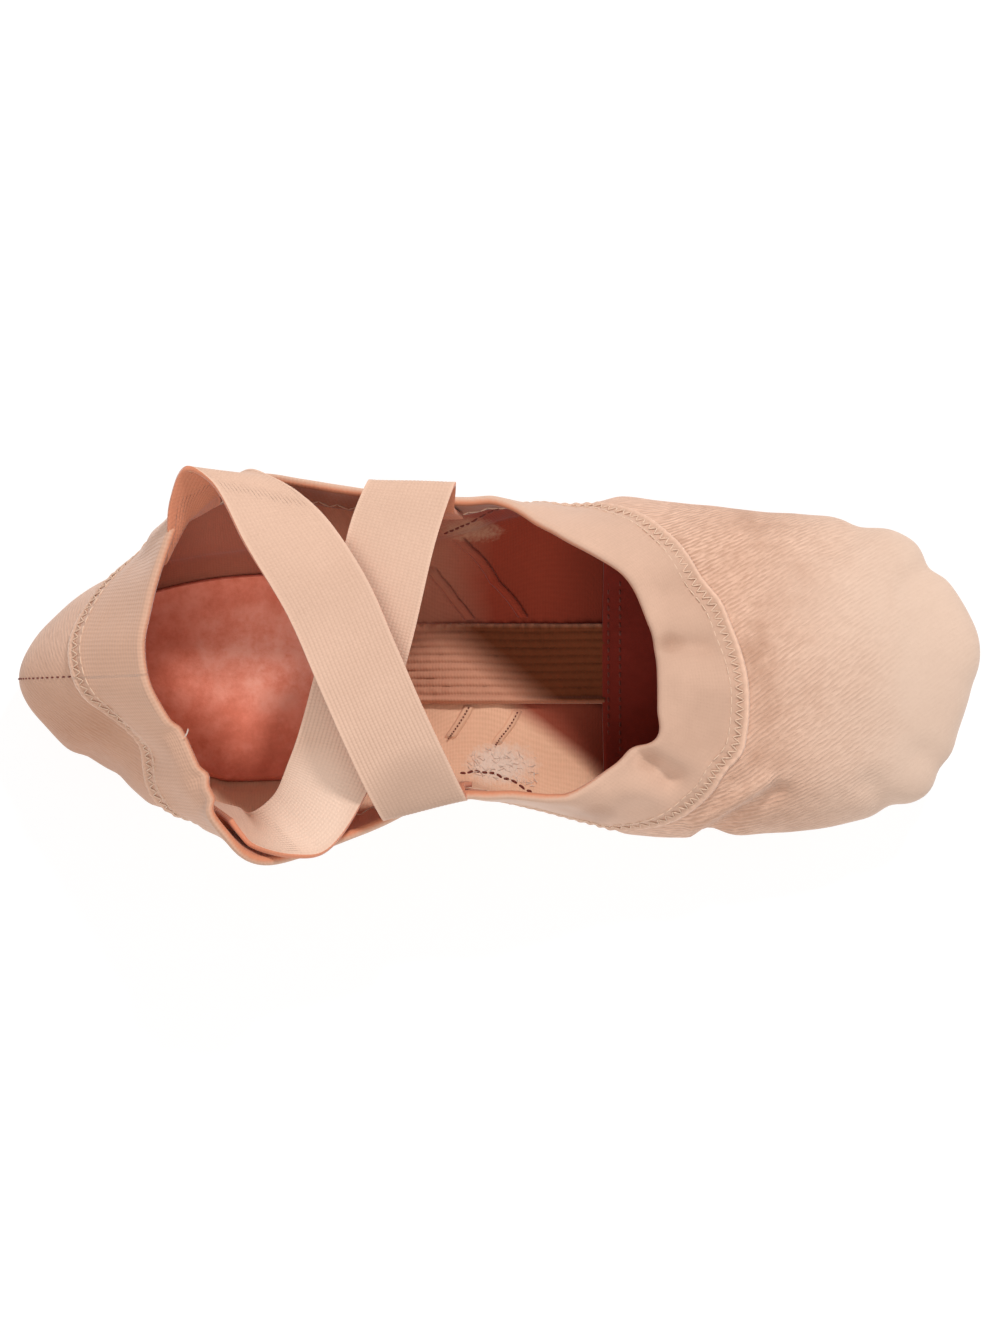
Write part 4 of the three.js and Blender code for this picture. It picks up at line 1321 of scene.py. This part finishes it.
class SLIPPER_OT_soles(bpy.types.Operator):
    """Suede patches under heel and ball, with their edge stitches"""

    bl_idname = "slipper.soles"
    bl_label = "Suede Soles"
    bl_options = {"REGISTER", "UNDO"}

    # How far the patches lap over the canvas, as shares of its tuck, and how far they close on it.
    LAP, STITCHED_LAP, CLOSE = 0.5, 0.34, 0.25
    HEEL_END, FRONT_END, SWELL = -47.0, 28.0, 0.6
    GRID, POINTS, EDGE_POINTS, ARC_POINTS = (90, 40), 160, 480, 60
    ROUND, THREAD = 0.4, 0.25

    def outline(self, last, end, towards, lap):
        """The patch's outline, closed at the arch by an arc."""
        start = 0.0 if towards > 0 else ROWS / 2
        rows = start + np.linspace(0, ROWS, self.EDGE_POINTS, endpoint=False)
        edge, outwards, tuck = last.sole_edge(rows)
        points = (edge + outwards * (lap * tuck)[:, None])[:, :2]
        points = points[(points[:, 0] - end) * towards > 0]
        first, final = points[0].copy(), points[-1].copy()
        first[0] = final[0] = end
        half, middle = (final - first) / 2, (first + final) / 2
        angles = np.linspace(0, math.pi, self.ARC_POINTS)[:-1]
        arc = middle + np.cos(angles)[:, None] * half
        arc[:, 0] -= towards * self.SWELL * np.linalg.norm(half) * np.sin(angles)
        ring = np.concatenate([points, arc, points[:1]])
        run = run_along(ring)
        even = np.linspace(0, run[-1], self.POINTS, endpoint=False)
        return stack(np.interp(even, run, ring[:, 0]), np.interp(even, run, ring[:, 1]))

    def hug(self, last, x, y):
        """How far the patch bends up to the canvas that rolls up over its border."""
        edge, outwards, tuck = last.sole_edge(np.linspace(0, ROWS, self.EDGE_POINTS, endpoint=False))
        points = stack(x, y)
        near = np.argmin(((points[:, None] - edge[None, :, :2]) ** 2).sum(-1), axis=1)
        share = ((points - edge[near, :2]) * outwards[near, :2]).sum(-1) / tuck[near]
        u = np.linspace(0, 1, self.ARC_POINTS)
        level = EDGE_PULL * u * (1 - u) ** 2 + u * u * (3 - 2 * u)
        rise = last.widest_height * u * u * (3 - 2 * u - ROLL_PULL * (1 - u))
        return np.interp(share, level, rise)

    def execute(self, context):
        last, colours = form_and_colours(context)
        suede = suede_paint("sole_suede", colours.suede, colours.suede)
        thread = thread_paint("sole_thread", colours.thread)
        runs = []
        for name, node, end, towards in (
            ("suede_front_sole", "outsole_front", self.FRONT_END, 1),
            ("suede_heel_sole", "outsole_heel", self.HEEL_END, -1),
        ):
            ring = self.outline(last, end, towards, self.LAP)
            ring = np.roll(ring, -int(ring[:, 0].argmin()), axis=0)
            turn = int(ring[:, 0].argmax())
            far, near = ring[: turn + 1], np.concatenate([ring[turn:], ring[:1]])[::-1]

            def place(along, across, far=far, near=near):
                x = far[0, 0] + (far[-1, 0] - far[0, 0]) * (1 - np.cos(along * math.pi)) / 2
                y_far, y_near = np.interp(x, far[:, 0], far[:, 1]), np.interp(x, near[:, 0], near[:, 1])
                y = y_near + (y_far - y_near) * (1 - np.cos(across * math.pi)) / 2
                return stack(x, y, last.lift(x) + self.hug(last, x, y)), stack(x, y)

            patch = grid_sheet(name, *self.GRID, place, closed=True)
            face_out(patch, upwards)
            modifier(patch, "SOLIDIFY", thickness=(last.outsole + self.CLOSE) * MM, offset=1.0)
            modifier(patch, "BEVEL", width=self.ROUND * MM, segments=2, limit_method="ANGLE",
                     angle_limit=math.radians(60))
            finish(patch, "suede", suede, node=node)
            inner = self.outline(last, end, towards, self.STITCHED_LAP)
            rise = self.hug(last, inner[:, 0], inner[:, 1])
            line = stack(inner[:, 0], inner[:, 1], last.lift(inner[:, 0]) + rise + 0.15)
            runs.append(dashes(line, np.tile((0.0, 0.0, -1.0), (len(line), 1))))
        stitch_rows("sole_edge_stitches", runs, "suede", thread, self.THREAD, sink=0.0)
        return {"FINISHED"}


class SLIPPER_OT_seams(bpy.types.Operator):
    """Felled seams of the lining, its frayed edges, the sock's stitches and the heel's back seam"""

    bl_idname = "slipper.seams"
    bl_label = "Seams"
    bl_options = {"REGISTER", "UNDO"}

    # Felled seams: rows and climbs from the floor up the wall, and height.
    INNER = (
        (((5.02, 0.023), (4.764, 0.082), (4.547, 0.184), (4.45, 0.26)), 1.3),
        (((4.571, 0.027), (4.45, 0.064), (4.331, 0.112), (4.26, 0.15)), 1.1),
        (((17.435, 0.02), (17.49, 0.045), (17.552, 0.072), (17.59, 0.09)), 0.7),
        (((17.038, 0.02), (17.11, 0.045), (17.191, 0.069), (17.24, 0.09)), 0.7),
    )
    GRID, WIDTH, CLOTH = (60, 12), 2.8, 0.2
    # Seams lower than this are sewn down along their middle.
    SEWN_UNDER = 1.0
    # Sewn lines near the rim, as rows and climbs, and the frayed patch, as its rows and climbs.
    SEWN = (
        ((17.51, 0.19), (17.33, 0.165), (17.13, 0.175), (16.88, 0.22)),
        ((4.39, 0.44), (4.62, 0.54), (5.03, 0.73)),
    )
    FRAYED_ROWS, FRAYED_CLIMBS, FIBRES = (16.86, 17.42), (0.10, 0.19), 110
    # The heel's back seam, as climbs, and the front sock's two sewn lines, in millimetres over the slipper.
    BACK_SEAM = (0.22, 0.86)
    SOCK_LINES, SOCK_SIDES = (26.4, 29.2), (-23, 21)
    # The loose thread's two ends, in millimetres.
    LOOSE = ((-72.6, -16.4, 51.4), (-71.6, -14.4, 53.4))

    def run_through(self, corners, share):
        """Rows and climbs at shares of the way through corners."""
        rows, climbs = np.array(corners, float).T
        place = np.linspace(0, 1, len(rows))
        return np.interp(share, place, rows), np.interp(share, place, climbs)

    def sewn_line(self, last, corners, out):
        """Uneven stitches along corners on the lining."""
        count = 11
        rows, climbs = self.run_through(corners, np.linspace(0, 1, count))
        climbs = climbs + 0.006 * np.sin(np.arange(count) * 2.3)
        _, outs = last.axes(rows, climbs)
        return dashes(last.skin(rows, climbs, out), -outs, 0.8)

    def fibres(self, last, out):
        """Loose fibres that lie every way over the frayed patch of the lining."""
        draw = np.random.default_rng(0)
        rows = draw.uniform(*self.FRAYED_ROWS, self.FIBRES)
        climbs = draw.uniform(*self.FRAYED_CLIMBS, self.FIBRES)
        up, outs = last.axes(rows, climbs)
        along = np.cross(up, outs)
        angle, length = draw.uniform(0, TAU, self.FIBRES), draw.uniform(0.7, 2.2, self.FIBRES)
        way = up * np.sin(angle)[:, None] + along * np.cos(angle)[:, None]
        starts = last.skin(rows, climbs, out)
        ends = starts + way * length[:, None] - outs * draw.uniform(0, 0.4, (self.FIBRES, 1))
        return starts, ends, -outs

    def welt(self, last, name, corners, height):
        """A felled seam, which fades out at its top."""

        def place(along, across):
            row, climb = self.run_through(corners, along)
            fade = 1 - smooth(along, 0.8, 1.0)
            rise = height * np.maximum(0, 1 - (2 * across - 1) ** 4) * fade - 0.15
            nearby = last.smooth_skin(row + 0.05, climb) - last.smooth_skin(row - 0.05, climb)
            shifted = row + (across - 0.5) * self.WIDTH * 0.1 / np.linalg.norm(nearby, axis=-1)
            return last.skin(shifted, climb, -last.canvas - rise), stack(along * 40, across * self.WIDTH)

        piece = grid_sheet(name, *self.GRID, place)
        face_out(piece, lambda p: -from_outside(p))
        modifier(piece, "SOLIDIFY", thickness=self.CLOTH * MM, offset=-1.0)
        return piece

    def execute(self, context):
        last, colours = form_and_colours(context)
        # The seam thread takes half the shaded lining's colour: dark stitches that stand partly for the
        # shade they lie in.
        thread = thread_paint("seam_thread", shade(colours.shaded_lining, 0.5)[:3])
        pale = thread_paint("frayed_thread", colours.fray)
        lining = lining_paint(colours.lining, colours.shaded_lining, colours.fray)
        inside = -last.canvas
        runs = []
        for number, (corners, height) in enumerate(self.INNER):
            finish(self.welt(last, f"lining_seam_{number + 1}", corners, height), "canvas", lining)
            if height < self.SEWN_UNDER:
                row, climb = self.run_through(corners, np.linspace(0, 1, 14))
                _, outs = last.axes(row, climb)
                runs.append(dashes(last.skin(row, climb, inside - height - 0.05), -outs, 0.5))
        climbs = np.linspace(*self.BACK_SEAM, 26)
        rows = np.zeros_like(climbs)
        _, outs = last.axes(rows, climbs)
        runs.append(dashes(last.skin(rows, climbs, 0.1), outs, 0.55))
        for along in self.SOCK_LINES:
            across = np.linspace(*self.SOCK_SIDES, 23)
            x = np.full_like(across, along)
            line = stack(x, across, last.inner_floor(x) + last.insole - 0.1)
            runs.append(dashes(line, upwards(line), 0.6))
        stitch_rows("seam_stitches", runs, "canvas", thread, radius=0.22)
        sewn = [self.sewn_line(last, corners, inside - 0.1) for corners in self.SEWN]
        stitch_rows("fray_stitches", sewn, "canvas", thread, radius=0.36)
        fibres = self.fibres(last, inside - 0.1)
        stitch_rows("frayed_fibres", [fibres], "canvas", pale, radius=0.07, sink=2.0)
        ends = np.array(self.LOOSE)
        thread_end = (ends[:1], ends[1:], np.array(((1.0, 0.0, 0.0),)))
        stitch_rows("loose_thread", [thread_end], "binding", pale, radius=0.2, sink=1.0)
        return {"FINISHED"}


class SLIPPER_OT_stage(bpy.types.Operator):
    """Pale floor, soft studio light and the camera over the slipper"""

    bl_idname = "slipper.stage"
    bl_label = "Stage"
    bl_options = {"REGISTER", "UNDO"}

    FLOOR_SIZE, FLOOR_DARK, FLOOR_LIGHT = 6, (0.25, 0.25, 0.25, 1), (0.28, 0.28, 0.28, 1)
    # Size and place of each light, the tint of the light all round, and the camera's place over the floor.
    KEY_LIGHT = (0.14, (0.42, 0.97, 1.02))
    OVERHEAD_LIGHT = (1.4, (-0.2, -1.0, 1.9))
    SKY_TINT = (1.0, 0.985, 0.97, 1.0)
    CAMERA_X, SENSOR = 0.00024, 36.0

    def execute(self, context):
        stage = context.scene.slipper_stage
        bpy.ops.object.select_all(action="DESELECT")
        bpy.ops.mesh.primitive_plane_add(size=self.FLOOR_SIZE, location=(0, 0, 0))
        floor = context.object
        floor.name = "pale_floor"
        edit(lambda: bpy.ops.mesh.subdivide(number_cuts=4))
        paint = Paint("pale_floor", roughness=0.9, sheen=0.0, specular=0.2)
        grain = paint.noise(0.4, detail=2.0)
        paint.shader.inputs["Emission Color"].default_value = (1.0, 1.0, 1.0, 1.0)
        paint.shader.inputs["Emission Strength"].default_value = stage.floor_glow
        pale = paint.mix(grain, self.FLOOR_DARK, self.FLOOR_LIGHT)
        dress(floor, paint.done(pale))
        self.light("key_light", stage.key, *self.KEY_LIGHT)
        self.light("overhead_light", stage.fill, *self.OVERHEAD_LIGHT)
        world = bpy.data.worlds.new("even_light")
        context.scene.world = world
        world.use_nodes = True
        sky = world.node_tree.nodes["Background"]
        sky.inputs["Color"].default_value = self.SKY_TINT
        sky.inputs["Strength"].default_value = stage.sky
        bpy.ops.object.camera_add(location=(self.CAMERA_X, 0.0, stage.camera_height), rotation=(0, 0, 0))
        camera = context.object
        camera.name = "camera_from_above"
        camera.data.lens = stage.lens
        camera.data.sensor_width = self.SENSOR
        camera.data.clip_start, camera.data.clip_end = 0.01, 50.0
        context.scene.camera = camera
        context.scene.view_settings.view_transform = "Standard"
        return {"FINISHED"}

    def light(self, name, power, size, place):
        """A square light that faces the slipper."""
        bpy.ops.object.light_add(type="AREA", location=place)
        lamp = bpy.context.object
        lamp.name = name
        lamp.data.energy = power
        lamp.data.size = size
        lamp.rotation_mode = "QUATERNION"
        lamp.rotation_quaternion = (-Vector(place)).to_track_quat("-Z", "Y")


class VIEW3D_PT_slipper(bpy.types.Panel):
    """Lists the slipper's pieces, sizes and colours"""

    bl_label = "Ballet Slipper"
    bl_idname = "VIEW3D_PT_slipper"
    bl_space_type = "VIEW_3D"
    bl_region_type = "UI"
    bl_category = "Slipper"

    def draw(self, context):
        for operator in OPERATORS:
            self.layout.operator(operator.bl_idname)
        for group in GROUPS:
            for name in GROUPS[group].__annotations__:
                self.layout.prop(getattr(context.scene, group), name)


GROUPS = {"slipper_sizes": SlipperSizes, "slipper_colours": SlipperColours, "slipper_stage": SlipperStage}
OPERATORS = (
    SLIPPER_OT_stage,
    SLIPPER_OT_upper,
    SLIPPER_OT_binding,
    SLIPPER_OT_straps,
    SLIPPER_OT_insoles,
    SLIPPER_OT_soles,
    SLIPPER_OT_seams,
)


def register():
    for cls in (*GROUPS.values(), *OPERATORS, VIEW3D_PT_slipper):
        bpy.utils.register_class(cls)
    for name, cls in GROUPS.items():
        setattr(bpy.types.Scene, name, PointerProperty(type=cls))


def unregister():
    for name in GROUPS:
        delattr(bpy.types.Scene, name)
    for cls in reversed((*GROUPS.values(), *OPERATORS, VIEW3D_PT_slipper)):
        bpy.utils.unregister_class(cls)


def main():
    register()
    for operator in OPERATORS:
        group, name = operator.bl_idname.split(".")
        getattr(getattr(bpy.ops, group), name)()


if __name__ == "__main__":
    main()
